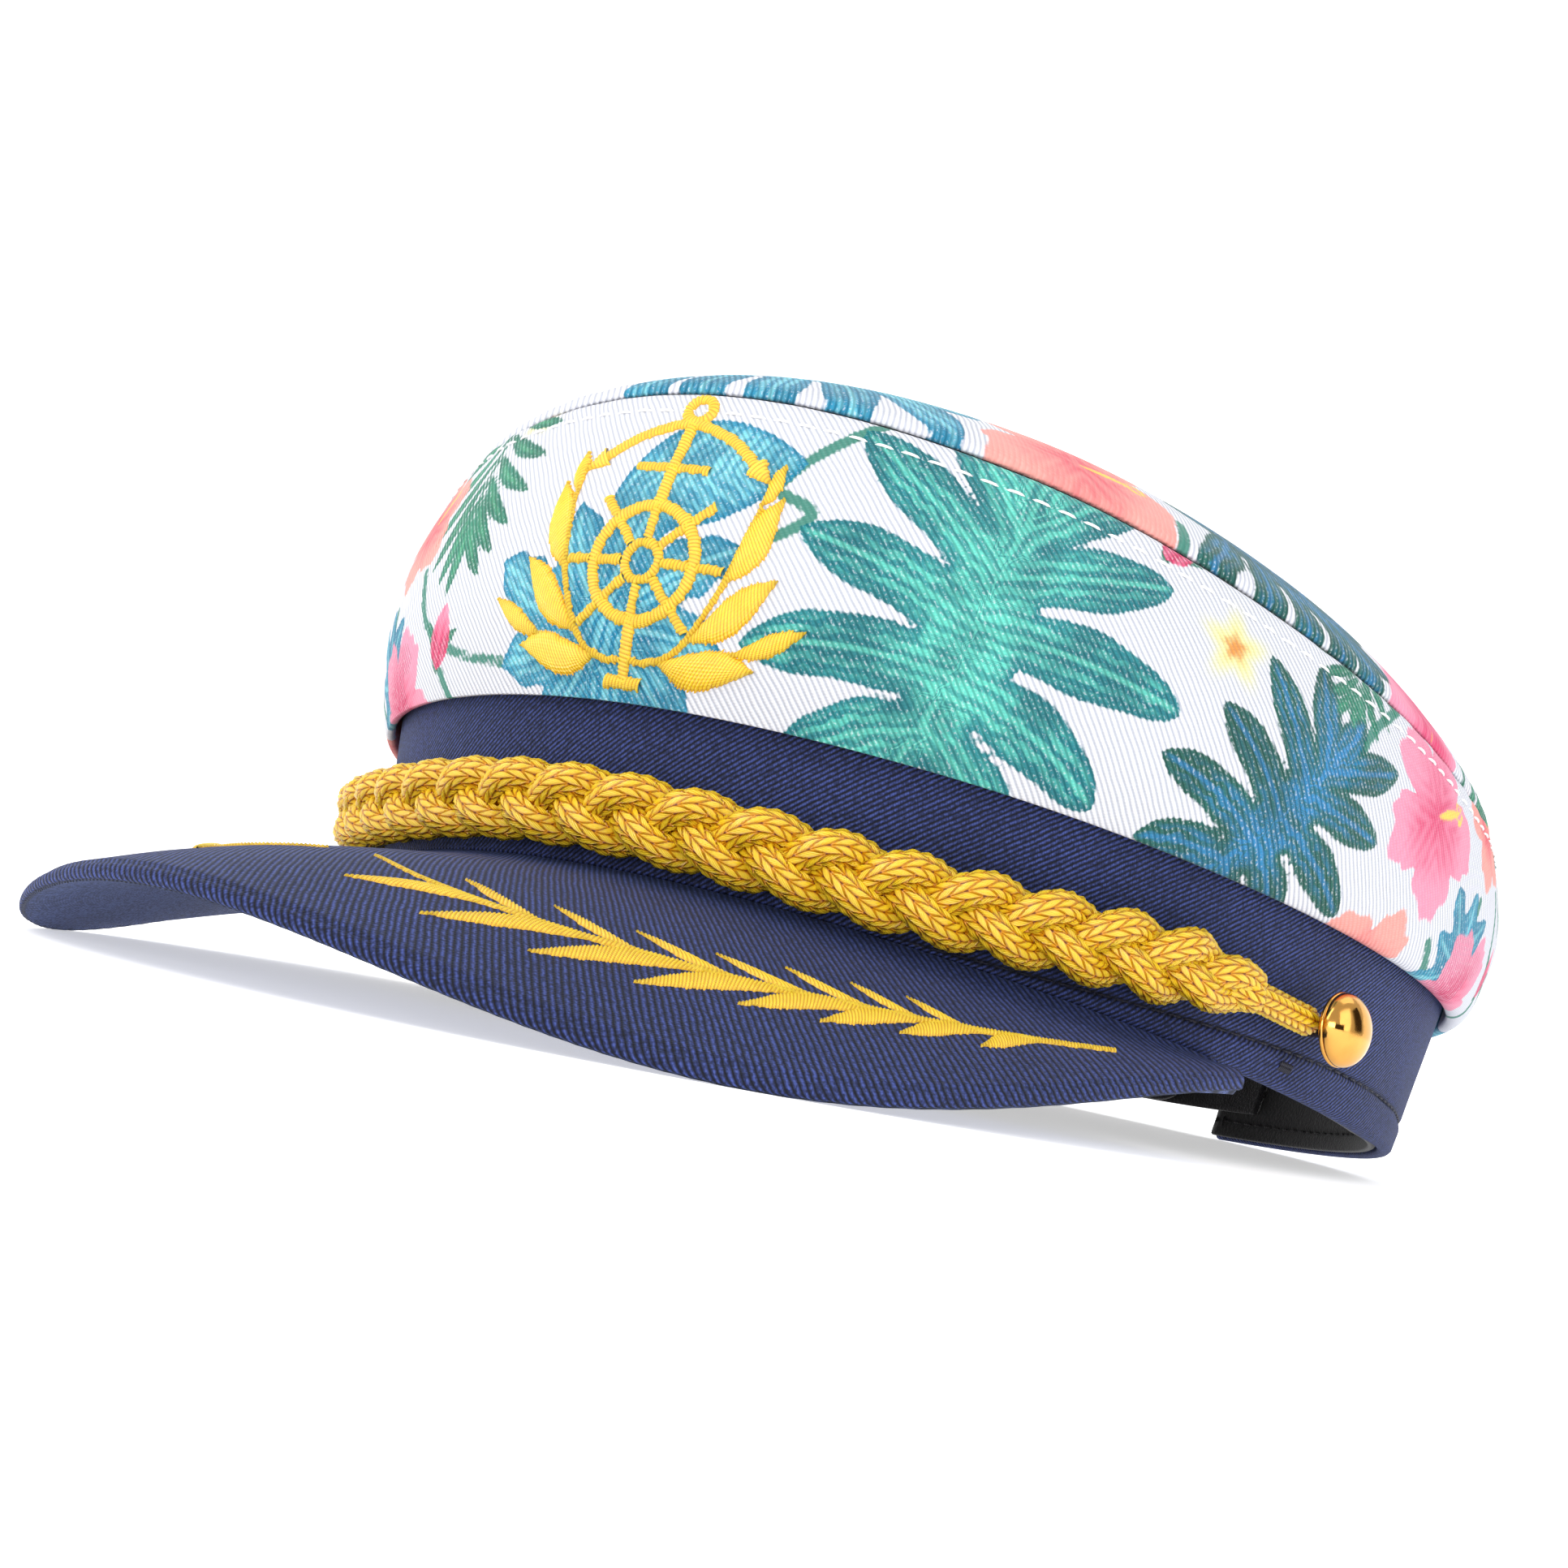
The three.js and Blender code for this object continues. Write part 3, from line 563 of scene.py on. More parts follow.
# Meshes
class Cloth:
    """The points, faces and per-point numbers of one mesh, gathered patch by patch."""

    def __init__(self):
        self.points = []
        self.faces = []
        self.slots = []
        self.numbers = []
        self.count = 0

    def patch(self, points, faces, slots=0, **numbers):
        points = points.reshape(-1, 3)
        self.points.append(points)
        self.faces.append(faces + self.count)
        self.slots.append(np.broadcast_to(slots, len(faces)))
        rows = {key: np.asarray(value, float).reshape(len(points), -1) for key, value in numbers.items()}
        self.numbers.append(rows)
        self.count += len(points)

    def mesh(self, name, materials):
        made = bpy.data.meshes.new(name)
        points = in_row_frame(np.concatenate(self.points))
        sides = np.concatenate([np.full(len(f), f.shape[1]) for f in self.faces])
        corners = np.concatenate([f.ravel() for f in self.faces])
        made.vertices.add(len(points))
        made.vertices.foreach_set("co", points.astype(np.float32).ravel())
        made.loops.add(len(corners))
        made.loops.foreach_set("vertex_index", corners.astype(np.int32))
        made.polygons.add(len(sides))
        starts = np.concatenate([[0], np.cumsum(sides)[:-1]])
        made.polygons.foreach_set("loop_start", starts.astype(np.int32))
        for material in materials:
            made.materials.append(material)
        made.polygons.foreach_set("material_index", np.concatenate(self.slots).astype(np.int32))
        made.update(calc_edges=True)
        self.write_numbers(made)
        made.validate()
        made.shade_smooth()
        return made

    def write_numbers(self, made):
        for key in sorted({k for numbers in self.numbers for k in numbers}):
            width = max(numbers[key].shape[1] for numbers in self.numbers if key in numbers)
            empty = [np.zeros((len(p), width)) for p in self.points]
            rows = [numbers.get(key, blank) for numbers, blank in zip(self.numbers, empty)]
            values = np.concatenate(rows).astype(np.float32)
            kind, field = ("FLOAT", "value") if width == 1 else ("FLOAT_VECTOR", "vector")
            made.attributes.new(key, kind, "POINT").data.foreach_set(field, values.ravel())


def place_piece(cloth, name, materials, nodes=(), weld=0.0):
    """Makes the object, rides it on the hat and hides the CAD parts that it stands in for."""
    mesh = cloth.mesh(name, materials)
    if weld:
        work = bmesh.new()
        work.from_mesh(mesh)
        bmesh.ops.remove_doubles(work, verts=work.verts, dist=weld * MM)
        work.to_mesh(mesh)
        work.free()
    made = bpy.data.objects.new(name, mesh)
    bpy.context.scene.collection.objects.link(made)
    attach(made, "root")
    if nodes:
        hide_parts(*nodes)


def grid_faces(rows, columns, ring=False, loop=False):
    """Quads of a grid listed row by row. A ring joins the last row to the first one, and a
    loop the last column to the first one."""
    i = np.arange(rows if ring else rows - 1)
    j = np.arange(columns if loop else columns - 1)
    near, far = (i * columns)[:, None], (((i + 1) % rows) * columns)[:, None]
    here, beyond = j[None, :], ((j + 1) % columns)[None, :]
    return np.stack([near + here, far + here, far + beyond, near + beyond], -1).reshape(-1, 4)


def end_faces(rows, columns):
    """Triangles that close both ends of a looped grid, to two middle points listed after it."""
    j = np.arange(columns)
    beyond = (j + 1) % columns
    last = (rows - 1) * columns
    first_middle = rows * columns
    near = np.stack([np.full(columns, first_middle), j, beyond], 1)
    far = np.stack([np.full(columns, first_middle + 1), last + beyond, last + j], 1)
    return np.concatenate([near, far])


def tube(cloth, points, turned=False, **numbers):
    """A closed solid through sections: points has a row for each section, which is a loop."""
    rows, columns = points.shape[:2]
    middles = np.stack([points[0].mean(0), points[-1].mean(0)])
    everything = np.concatenate([points.reshape(-1, 3), middles])
    sides, ends = grid_faces(rows, columns, loop=True), end_faces(rows, columns)
    if turned:
        sides, ends = sides[:, ::-1], ends[:, ::-1]
    values = {}
    for key, value in numbers.items():
        value = np.broadcast_to(value, (rows, columns) + np.shape(value)[2:]).reshape(rows * columns, -1)
        values[key] = np.concatenate([value, value[[0]], value[[-1]]])
    start = cloth.count
    cloth.patch(everything, sides, **values)
    cloth.faces.append(ends + start)
    cloth.slots.append(np.zeros(len(ends), int))


def smooth_line(points, count):
    """A Catmull-Rom curve through points, resampled evenly."""
    points = np.asarray(points, float)
    padded = np.concatenate([2 * points[:1] - points[1:2], points, 2 * points[-1:] - points[-2:-1]])
    t = np.linspace(0, 1, 24, endpoint=False)[:, None]
    runs = []
    for k in range(len(points) - 1):
        a, b, c, d = padded[k : k + 4]
        runs.append(b + 0.5 * t * (c - a + t * (2 * a - 5 * b + 4 * c - d + t * (3 * (b - c) + d - a))))
    dense = np.concatenate(runs + [points[-1:]])
    return even_line(dense, count)


def run_along(points, axis=0):
    """The length of each line so far at its points, where one axis of the array runs along it."""
    run = np.cumsum(np.linalg.norm(np.diff(points, axis=axis), axis=-1), axis)
    return np.concatenate([np.zeros_like(run.take([0], axis)), run], axis)


def sample(values, run, wanted):
    """Values given at some lengths along a line, at other lengths along it."""
    return np.stack([np.interp(wanted, run, values[:, k]) for k in range(values.shape[1])], 1)


def even_line(points, count):
    """The same line with evenly spaced points."""
    run = run_along(points)
    return sample(points, run, np.linspace(0, run[-1], count))


def line_length(points):
    return float(np.linalg.norm(np.diff(points, axis=0), axis=1).sum())


def unit(vectors):
    return vectors / np.maximum(np.linalg.norm(vectors, axis=-1, keepdims=True), 1e-9)


def corner_curve(start, corner, end, steps):
    """A rounded corner between two stretches, as a bend of points for each row."""
    t = np.linspace(0, 1, steps)[None, :, None]
    return (1 - t) ** 2 * start[:, None] + 2 * t * (1 - t) * corner[:, None] + t**2 * end[:, None]


def seam_pucker(around, distance):
    """Small gathers beside a seam, fading away from it."""
    wave = np.sin(2 * np.pi * around / 8.5 + 1.6 * np.sin(around / 23)) + 0.5 * np.sin(around / 2.1)
    return 0.16 * wave * np.exp(-distance / 4.5)


def soft_creases(around, up):
    """Slight waves of the cloth wall, stronger near its lower edge."""
    slow = np.sin(around / 13.0 + 0.8 * np.sin(up / 11)) * np.sin(around / 47.0 + 1.0)
    fine = np.sin(around / 6.1 + up / 9.0) * np.sin(around / 31.0)
    return 0.28 * slow * np.exp(-up / 16) + 0.14 * fine


# The print
def lens(points, root, tip, width, bend=0.0, fullness=0.9, blunt=False):
    """Signed distance to a leaf shape from a root to a tip, and the distance off its midrib. A
    blunt one keeps its width at the root."""
    root, tip = np.array(root, float), np.array(tip, float)
    length = math.dist(root, tip)
    ahead = (tip - root) / length
    away = points - root
    along = away @ ahead / length
    off = away @ np.array([-ahead[1], ahead[0]])
    inside = np.clip(along, 0, 1)
    off = off - bend * length * np.sin(np.pi * inside)
    if blunt:
        half = width * (0.8 + 0.2 * smoothstep(inside, 0.0, 0.5)) * (1 - inside**5) ** 0.7
        half = half * (1 + 0.05 * np.sin(13 * inside + 40 * bend))
    else:
        half = width * np.sin(np.pi * inside**fullness) ** 0.75
    beyond = length * np.maximum(np.maximum(-along, along - 1), 0)
    past = np.abs(off) - half
    return np.hypot(np.maximum(past, 0), beyond) + np.minimum(past, 0), off


def nearest(shapes):
    """The smallest distance of several shapes, and the lane of the shape it belongs to."""
    distances = np.stack([shape[0] for shape in shapes])
    lanes = np.stack([shape[1] for shape in shapes])
    pick = distances.argmin(0)
    every = np.arange(distances.shape[1])
    return distances[pick, every], lanes[pick, every]


def split_leaf(points, size):
    """A broad leaf cut by narrow notches into fingers on both sides of its midrib."""
    fingers = []
    for k, (angle, reach) in enumerate(FINGERS):
        root = (0, size * (-0.5 + 0.25 * k))
        turn = math.radians(angle)
        for side in (-1, 1):
            far = size * (reach + 0.05 * side * (-1) ** k)
            tip = (side * far * math.sin(turn), root[1] + far * math.cos(turn))
            bend = side * (0.07 - 0.02 * k)
            fingers.append(lens(points, root, tip, 0.16 * size, bend=bend, blunt=True))
    for root, tip, width in (((0, 0.4), (0.05, 1.12), 0.15), ((-0.02, -0.4), (-0.12, -1.02), 0.11)):
        root, tip = [(across * size, up * size) for across, up in (root, tip)]
        fingers.append(lens(points, root, tip, width * size, blunt=True))
    distance, lane = nearest(fingers)
    body = (np.hypot(points[:, 0] / 0.24, (points[:, 1] + 0.02 * size) / 0.6) - size) * 0.3
    heart = np.exp(-((points[:, 0] / (0.34 * size)) ** 2))
    return np.minimum(distance, body), lane, heart


def frond(points, size):
    """A palm frond of narrow leaflets."""
    leaflets = [lens(points, (0, -size), (0, 0.7 * size), 0.028 * size)]
    for k in range(7):
        root = (0, size * (-0.62 + 0.19 * k))
        angle = math.radians(70 - 8 * k)
        reach = size * (0.62, 0.78, 0.86, 0.88, 0.84, 0.74, 0.62)[k]
        for side in (-1, 1):
            tip = (side * reach * math.sin(angle), root[1] + reach * math.cos(angle))
            leaflets.append(lens(points, root, tip, 0.072 * size, bend=side * 0.06, fullness=1.1))
    distance, lane = nearest(leaflets)
    heart = np.exp(-((points[:, 0] / (0.3 * size)) ** 2))
    return distance, lane, heart


def rosette(points, size):
    """Broad leaves round a middle."""
    leaves = [(np.hypot(points[:, 0], points[:, 1]) - 0.3 * size, points[:, 0])]
    for k in range(9):
        angle = 2 * math.pi * k / 9
        reach = size * (1.0 if k % 2 else 0.84)
        tip = (reach * math.sin(angle), reach * math.cos(angle))
        leaves.append(lens(points, (0, 0), tip, 0.19 * size, bend=0.05, fullness=1.35))
    distance, lane = nearest(leaves)
    distance = distance + 0.35 * np.sin(np.hypot(points[:, 0], points[:, 1]) * 1.5)
    heart = smoothstep(np.hypot(points[:, 0], points[:, 1]) / size, 0.2, 0.9)
    return distance, lane, heart


def broad_leaf(points, size):
    distance, lane = lens(points, (0, -size), (0, size), 0.62 * size, bend=0.06)
    ribs = points[:, 1] * 0.8 - np.abs(points[:, 0]) * 0.7
    return distance, ribs, np.exp(-((lane / (0.5 * size)) ** 2))


def petals(points, size):
    """A five-petalled flower: signed distance, distance to the nearest petal edge, and reach."""
    angle = np.arctan2(points[:, 0], points[:, 1])
    reach = np.hypot(points[:, 0], points[:, 1])
    turn = (angle * 5 / (2 * math.pi)) % 1
    lobe = np.abs(np.cos(math.pi * (turn - 0.5))) ** 0.45
    ruffle = 0.035 * np.sin(angle * 19 + 1.5 * np.sin(angle * 7)) + 0.03 * np.sin(angle * 11)
    edge = size * (0.52 + 0.46 * lobe + ruffle)
    between = reach * np.abs(np.minimum(turn, 1 - turn)) * 2 * math.pi / 5
    return (reach - edge) * 0.8, between, reach / size


LEAF_SHAPES = {"split_leaf": split_leaf, "frond": frond, "rosette": rosette, "broad_leaf": broad_leaf}


class Print:
    """Numbers of the printed pattern at each point of a cloth."""

    def __init__(self, places):
        count = len(places)
        self.places = places
        self.leaf_edge = np.full(count, FAR)
        self.leaf_lane = np.zeros(count)
        self.leaf_heart = np.zeros(count)
        self.leaf_light = np.ones((count, 3))
        self.leaf_dark = np.ones((count, 3))
        self.petal_edge = np.full(count, FAR)
        self.petal_fold = np.full(count, FAR)
        self.petal_reach = np.zeros(count)
        self.petal_light = np.ones((count, 3))
        self.petal_dark = np.ones((count, 3))
        self.stamen_edge = np.full(count, FAR)
        self.stem_edge = np.full(count, FAR)
        self.glow_reach = np.full(count, FAR)

    def draw(self, motif, shift=0.0):
        """Draws one motif over what is there."""
        away = self.places - np.array([motif.across + shift, motif.up])
        near = np.flatnonzero((np.abs(away) < 1.6 * motif.size).all(1))
        if not len(near):
            return
        turn = math.radians(motif.turn)
        sine, cosine = math.sin(turn), math.cos(turn)
        local = away[near] @ np.array([[cosine, sine], [-sine, cosine]])
        if motif.kind == "glow":
            self.glow_reach[near] = np.minimum(self.glow_reach[near], self.star(local, motif.size))
        elif motif.kind == "hibiscus":
            self.flower(near, local, motif)
        elif motif.kind == "bud":
            self.bud(near, local, motif)
        else:
            distance, lane, heart = LEAF_SHAPES[motif.kind](local, motif.size)
            self.leaf(near, distance, lane, heart, motif.tone)

    def star(self, local, size):
        angle = np.arctan2(local[:, 0], local[:, 1])
        return np.hypot(local[:, 0], local[:, 1]) / (size * (0.82 + 0.18 * np.cos(5 * angle)))

    def leaf(self, near, distance, lane, heart, tone):
        wins = distance < self.leaf_edge[near]
        rows = near[wins]
        self.leaf_edge[rows] = distance[wins]
        self.leaf_lane[rows] = lane[wins]
        self.leaf_heart[rows] = heart[wins]
        self.leaf_light[rows] = colour_of(tone + "_light")
        self.leaf_dark[rows] = colour_of(tone + "_dark")

    def bloom(self, near, distance, fold, reach, tone):
        wins = distance < self.petal_edge[near]
        rows = near[wins]
        self.petal_edge[rows] = distance[wins]
        self.petal_fold[rows] = fold[wins]
        self.petal_reach[rows] = reach[wins]
        self.petal_light[rows] = colour_of(tone + "_light")
        self.petal_dark[rows] = colour_of(tone + "_dark")

    def flower(self, near, local, motif):
        self.bloom(near, *petals(local, motif.size), motif.tone)
        stamen = lens(local, (0, 0), (0.1 * motif.size, 0.66 * motif.size), 0.05 * motif.size)[0]
        for k in range(7):
            angle = 2.4 * k
            dot = local - motif.size * np.array([0.1 + 0.09 * math.cos(angle), 0.6 + 0.1 * math.sin(angle)])
            stamen = np.minimum(stamen, np.hypot(dot[:, 0], dot[:, 1]) - 0.035 * motif.size)
        self.stamen_edge[near] = np.minimum(self.stamen_edge[near], stamen)

    def bud(self, near, local, motif):
        size = motif.size
        distance, lane = lens(local, (0, -0.6 * size), (0.1 * size, size), 0.5 * size, fullness=0.8)
        self.bloom(near, distance, np.abs(lane - 0.1 * size), local[:, 1] / size, motif.tone)
        for side in (-1, 0, 1):
            tip = (side * 0.9 * size, (0.5 - 0.9 * (side == 0)) * size)
            shape = lens(local, (0, -0.75 * size), tip, 0.2 * size, bend=0.12 * side)
            self.leaf(near, *shape, np.zeros(len(near)), "palm")

    def stem(self, line, shift=0.0):
        line = smooth_line(np.array(line, float) + [shift, 0], 30)
        low, high = line.min(0) - 3, line.max(0) + 3
        near = np.flatnonzero(((self.places > low) & (self.places < high)).all(1))
        if not len(near):
            return
        away = self.places[near][:, None] - line[None]
        distance = np.sqrt((away**2).sum(2)).min(1)
        self.stem_edge[near] = np.minimum(self.stem_edge[near], distance - STEM_WIDTH / 2)

    def numbers(self):
        return {key: value for key, value in vars(self).items() if key != "places"}


def wall_print(places):
    """The print round the wall, which repeats."""
    made = Print(places)
    for shift in (-2 * PRINT_REPEAT, -PRINT_REPEAT, 0, PRINT_REPEAT):
        for stem in WALL_STEMS:
            made.stem(stem, shift)
        for motif in WALL_MOTIFS:
            made.draw(motif, shift)
    return made.numbers()


def top_print(places):
    made = Print(places)
    for stem in TOP_STEMS:
        made.stem(stem)
    for motif in TOP_MOTIFS:
        made.draw(motif)
    return made.numbers()


# Materials
class Graph:
    """The nodes of one material, written as short sums."""

    def __init__(self, name, **surface):
        self.material = bpy.data.materials.new(name)
        self.material.use_nodes = True
        self.tree = self.material.node_tree
        self.tree.nodes.clear()
        self.surface = self.node("ShaderNodeBsdfPrincipled", **surface)
        self.node("ShaderNodeOutputMaterial", Surface=self.surface.outputs[0])

    def node(self, kind, settings=None, **inputs):
        made = self.tree.nodes.new(kind)
        for key, value in (settings or {}).items():
            setattr(made, key, value)
        for key, value in inputs.items():
            self.feed(made.inputs[key.replace("_", " ")], value)
        return made

    def paint(self, colour):
        self.feed(self.surface.inputs["Base Color"], colour)

    def feed(self, socket, value):
        if isinstance(value, bpy.types.NodeSocket):
            self.tree.links.new(value, socket)
        else:
            socket.default_value = value

    def math(self, operation, *values):
        made = self.tree.nodes.new("ShaderNodeMath")
        made.operation = operation
        for socket, value in zip(made.inputs, values):
            self.feed(socket, value)
        return made.outputs[0]

    def add(self, *values):
        total = values[0]
        for value in values[1:]:
            total = self.math("ADD", total, value)
        return total

    def times(self, *values):
        total = values[0]
        for value in values[1:]:
            total = self.math("MULTIPLY", total, value)
        return total

    def wave(self, turns):
        """From 0 to 1 and back for each whole turn."""
        swing = self.math("COSINE", self.times(turns, 2 * math.pi))
        return self.math("MULTIPLY_ADD", swing, 0.5, 0.5)

    def smooth(self, value, low, high, at_low=0.0, at_high=1.0):
        made = self.node(
            "ShaderNodeMapRange", {"interpolation_type": "SMOOTHSTEP"}, Value=value,
            From_Min=low, From_Max=high, To_Min=at_low, To_Max=at_high,
        )
        return made.outputs[0]

    def mix(self, share, a, b, blend="MIX"):
        made = self.tree.nodes.new("ShaderNodeMix")
        made.data_type = "RGBA"
        made.blend_type = blend
        for socket, value in zip((made.inputs[0], made.inputs[6], made.inputs[7]), (share, a, b)):
            self.feed(socket, value if not isinstance(value, tuple) else (*value[:3], 1.0))
        return made.outputs[2]

    def noise(self, scale, detail):
        made = self.node("ShaderNodeTexNoise", Scale=scale, Detail=detail)
        self.feed(made.inputs["Vector"], self.node("ShaderNodeTexCoord").outputs["Object"])
        return made.outputs["Fac"]

    def number(self, name):
        return self.node("ShaderNodeAttribute", {"attribute_name": name}).outputs["Fac"]

    def vector(self, name):
        return self.node("ShaderNodeAttribute", {"attribute_name": name}).outputs["Vector"]

    def relief(self, height, millimetres):
        made = self.node("ShaderNodeBump", Height=height, Distance=millimetres * MM, Strength=1.0)
        self.feed(self.surface.inputs["Normal"], made.outputs[0])

    def shade(self, colour, value):
        """A colour made darker by a value from 0 to 1."""
        grey = self.node("ShaderNodeCombineColor", Red=value, Green=value, Blue=value).outputs[0]
        return self.mix(1.0, colour, grey, "MULTIPLY")


def twill(graph, rib, slant, yarn=0.55):
    """The ribs of a twill and the single yarns in them, both from 0 to 1."""
    x, y, _ = graph.node("ShaderNodeSeparateXYZ", Vector=graph.vector("weave")).outputs
    sine, cosine = math.sin(math.radians(slant)) / rib, math.cos(math.radians(slant)) / rib
    wobble = graph.times(graph.add(graph.noise(260.0, 1.0), -0.5), 0.5)
    across = graph.add(graph.times(x, cosine), graph.times(y, sine), wobble)
    along = graph.add(graph.times(x, -sine / yarn), graph.times(y, cosine / yarn))
    ribs = graph.wave(across)
    yarns = graph.wave(graph.add(along, graph.times(across, 0.5)))
    return ribs, yarns


def printed_twill():
    """White twill with the tropical print, whose edges bleed a little along the ribs. Painted shade darkens
    the furrows between the ribs and the gaps between the yarns.
    """
    graph = Graph(
        "Printed twill", Roughness=0.86, Specular_IOR_Level=0.25, Sheen_Weight=0.12, Sheen_Roughness=0.5
    )
    ribs, yarns = twill(graph, size_of("crown_rib"), CROWN_SLANT)
    wash = graph.noise(140.0, 3.0)
    bleed = graph.times(graph.add(graph.noise(1500.0, 2.0), -0.5), 0.7)
    bleed = graph.add(bleed, graph.times(ribs, 0.16))
    # Painted shade: the furrows between the ribs are given a greyer white than the rib tops.
    colour = graph.mix(graph.smooth(ribs, 0.0, 0.6), linear(198, 201, 213), colour_of("cloth"))

    stem = graph.smooth(graph.add(graph.number("stem_edge"), bleed), -0.15, 0.3, 0.92, 0.0)
    colour = graph.mix(stem, colour, colour_of("stem"))

    reach = graph.number("glow_reach")
    halo = graph.smooth(graph.add(reach, graph.times(bleed, 0.2)), 0.35, 1.1, 0.85, 0.0)
    colour = graph.mix(halo, colour, linear(246, 240, 150))
    middle = graph.smooth(graph.add(reach, graph.times(bleed, 0.3)), 0.12, 0.5, 0.9, 0.0)
    colour = graph.mix(middle, colour, colour_of("amber"))

    edge = graph.add(graph.number("leaf_edge"), bleed)
    lane = graph.number("leaf_lane")
    fray = graph.times(graph.add(graph.noise(420.0, 3.0), -0.5), 1.4)
    veins = graph.smooth(graph.wave(graph.add(graph.times(lane, 0.55), fray)), 0.15, 0.75)
    midrib = graph.smooth(graph.math("ABSOLUTE", lane), 0.15, 0.6, 0.85, 0.0)
    inside = graph.smooth(edge, -1.9, -0.3, 1.0, 0.12)
    share = graph.add(graph.times(veins, 0.62), graph.times(graph.number("leaf_heart"), 0.42))
    share = graph.times(share, inside, graph.smooth(wash, 0.32, 0.6, 0.3, 1.0))
    share = graph.math("MAXIMUM", share, graph.times(midrib, inside))
    leaf = graph.mix(share, graph.vector("leaf_dark"), graph.vector("leaf_light"))
    leaf = graph.shade(leaf, graph.smooth(wash, 0.3, 0.7, 0.82, 1.1))
    colour = graph.mix(graph.smooth(edge, -0.2, 0.2, 0.97, 0.0), colour, leaf)

    edge = graph.add(graph.number("petal_edge"), bleed)
    rays = graph.wave(graph.add(graph.times(graph.number("petal_fold"), 0.5), wash))
    depth = graph.add(graph.number("petal_reach"), graph.times(wash, 0.7))
    depth = graph.smooth(depth, 0.45, 1.15, 1.0, 0.1)
    fold = graph.smooth(graph.number("petal_fold"), 0.1, 0.9, 0.5, 0.0)
    share = graph.math("MAXIMUM", graph.times(depth, graph.math("MULTIPLY_ADD", rays, 0.4, 0.6)), fold)
    petal = graph.mix(share, graph.vector("petal_light"), graph.vector("petal_dark"))
    colour = graph.mix(graph.smooth(edge, -0.2, 0.3, 0.96, 0.0), colour, petal)
    stamen = graph.smooth(graph.add(graph.number("stamen_edge"), bleed), -0.2, 0.3, 0.95, 0.0)
    colour = graph.mix(stamen, colour, colour_of("pollen"))

    bare = graph.smooth(graph.number("leaf_edge"), -0.4, 0.1)
    fleck = graph.times(graph.smooth(graph.noise(2600.0, 1.0), 0.5, 0.72), graph.smooth(ribs, 0.3, 0.9))
    fleck = graph.times(fleck, graph.math("SUBTRACT", 1.0, bare), 0.42)
    colour = graph.mix(fleck, colour, colour_of("cloth"))
    # Painted shade: the rib furrows darken inside the printed leaves, and the gaps between the yarns darken
    # all over the cloth.
    furrow = graph.smooth(ribs, 0.0, 0.55, 0.68, 1.0)
    colour = graph.shade(colour, graph.math("MAXIMUM", furrow, bare))
    weave_shade = graph.math("MULTIPLY_ADD", graph.times(ribs, yarns), 0.14, 0.86)
    graph.paint(graph.shade(colour, weave_shade))
    graph.relief(graph.add(graph.times(ribs, 0.8), graph.times(yarns, 0.2)), 0.16)
    return graph.material


def navy_twill(name, colour, rib, slant, relief=0.16):
    """Navy twill: painted highlights on the rib tops, flecked at random, and painted shade in the dark
    furrows between them, with a slight sheen.
    """
    graph = Graph(
        name, Roughness=0.7, Specular_IOR_Level=0.3, Sheen_Weight=0.08, Sheen_Roughness=0.4,
        Sheen_Tint=(0.35, 0.5, 1.0, 1.0),
    )
    ribs, yarns = twill(graph, rib, slant)
    speckle = graph.noise(2400.0, 1.0)
    patch = graph.noise(60.0, 2.0)
    tops = graph.times(ribs, graph.math("MULTIPLY_ADD", yarns, 0.3, 0.7))
    # Painted highlight: a pale copy of the navy for the rib tops; painted shade: a near-black copy for the
    # furrows.
    light = tuple(min(1.0, channel * 2.9 + 0.032) for channel in colour_of(colour))
    dark = tinted(colour_of(colour), 0.06)
    cloth = graph.mix(graph.times(tops, graph.smooth(speckle, 0.32, 0.66, 0.3, 1.0)), dark, light)
    cloth = graph.shade(cloth, graph.smooth(patch, 0.3, 0.7, 0.9, 1.08))
    # Painted shade along the groove under the band's stitches and at the visor's edge seam.
    thread = graph.smooth(graph.number("groove"), 0.2, 0.9, 1.0, 0.25)
    graph.paint(graph.shade(cloth, thread))
    graph.relief(graph.add(graph.times(ribs, 0.88), graph.times(yarns, 0.12)), relief)
    return graph.material


def black_lining():
    """Dull black lining cloth with fine crossed yarns."""
    graph = Graph(
        "Black lining", Roughness=0.82, Specular_IOR_Level=0.3, Sheen_Weight=0.3, Sheen_Roughness=0.45
    )
    patch = graph.noise(90.0, 3.0)
    fluff = graph.noise(1600.0, 3.0)
    light = tinted(colour_of("lining"), 2.6)
    share = graph.times(graph.smooth(patch, 0.35, 0.7), graph.smooth(fluff, 0.35, 0.7))
    graph.paint(graph.mix(share, colour_of("lining"), light))
    graph.relief(fluff, 0.2)
    return graph.material


def strap_fleece():
    """The strap's looped pile, rubbed flat in places."""
    graph = Graph(
        "Strap fleece", Roughness=0.7, Specular_IOR_Level=0.35, Sheen_Weight=0.45, Sheen_Roughness=0.35
    )
    loops = graph.node("ShaderNodeTexVoronoi", Scale=2200.0)
    graph.feed(loops.inputs["Vector"], graph.node("ShaderNodeTexCoord").outputs["Object"])
    patch = graph.noise(120.0, 4.0)
    light = tinted(colour_of("lining"), 3.0)
    graph.paint(graph.mix(graph.smooth(patch, 0.4, 0.65), colour_of("lining"), light))
    pile = graph.times(loops.outputs["Distance"], graph.smooth(patch, 0.2, 0.6, 0.4, 1.0))
    graph.relief(pile, 0.16)
    return graph.material


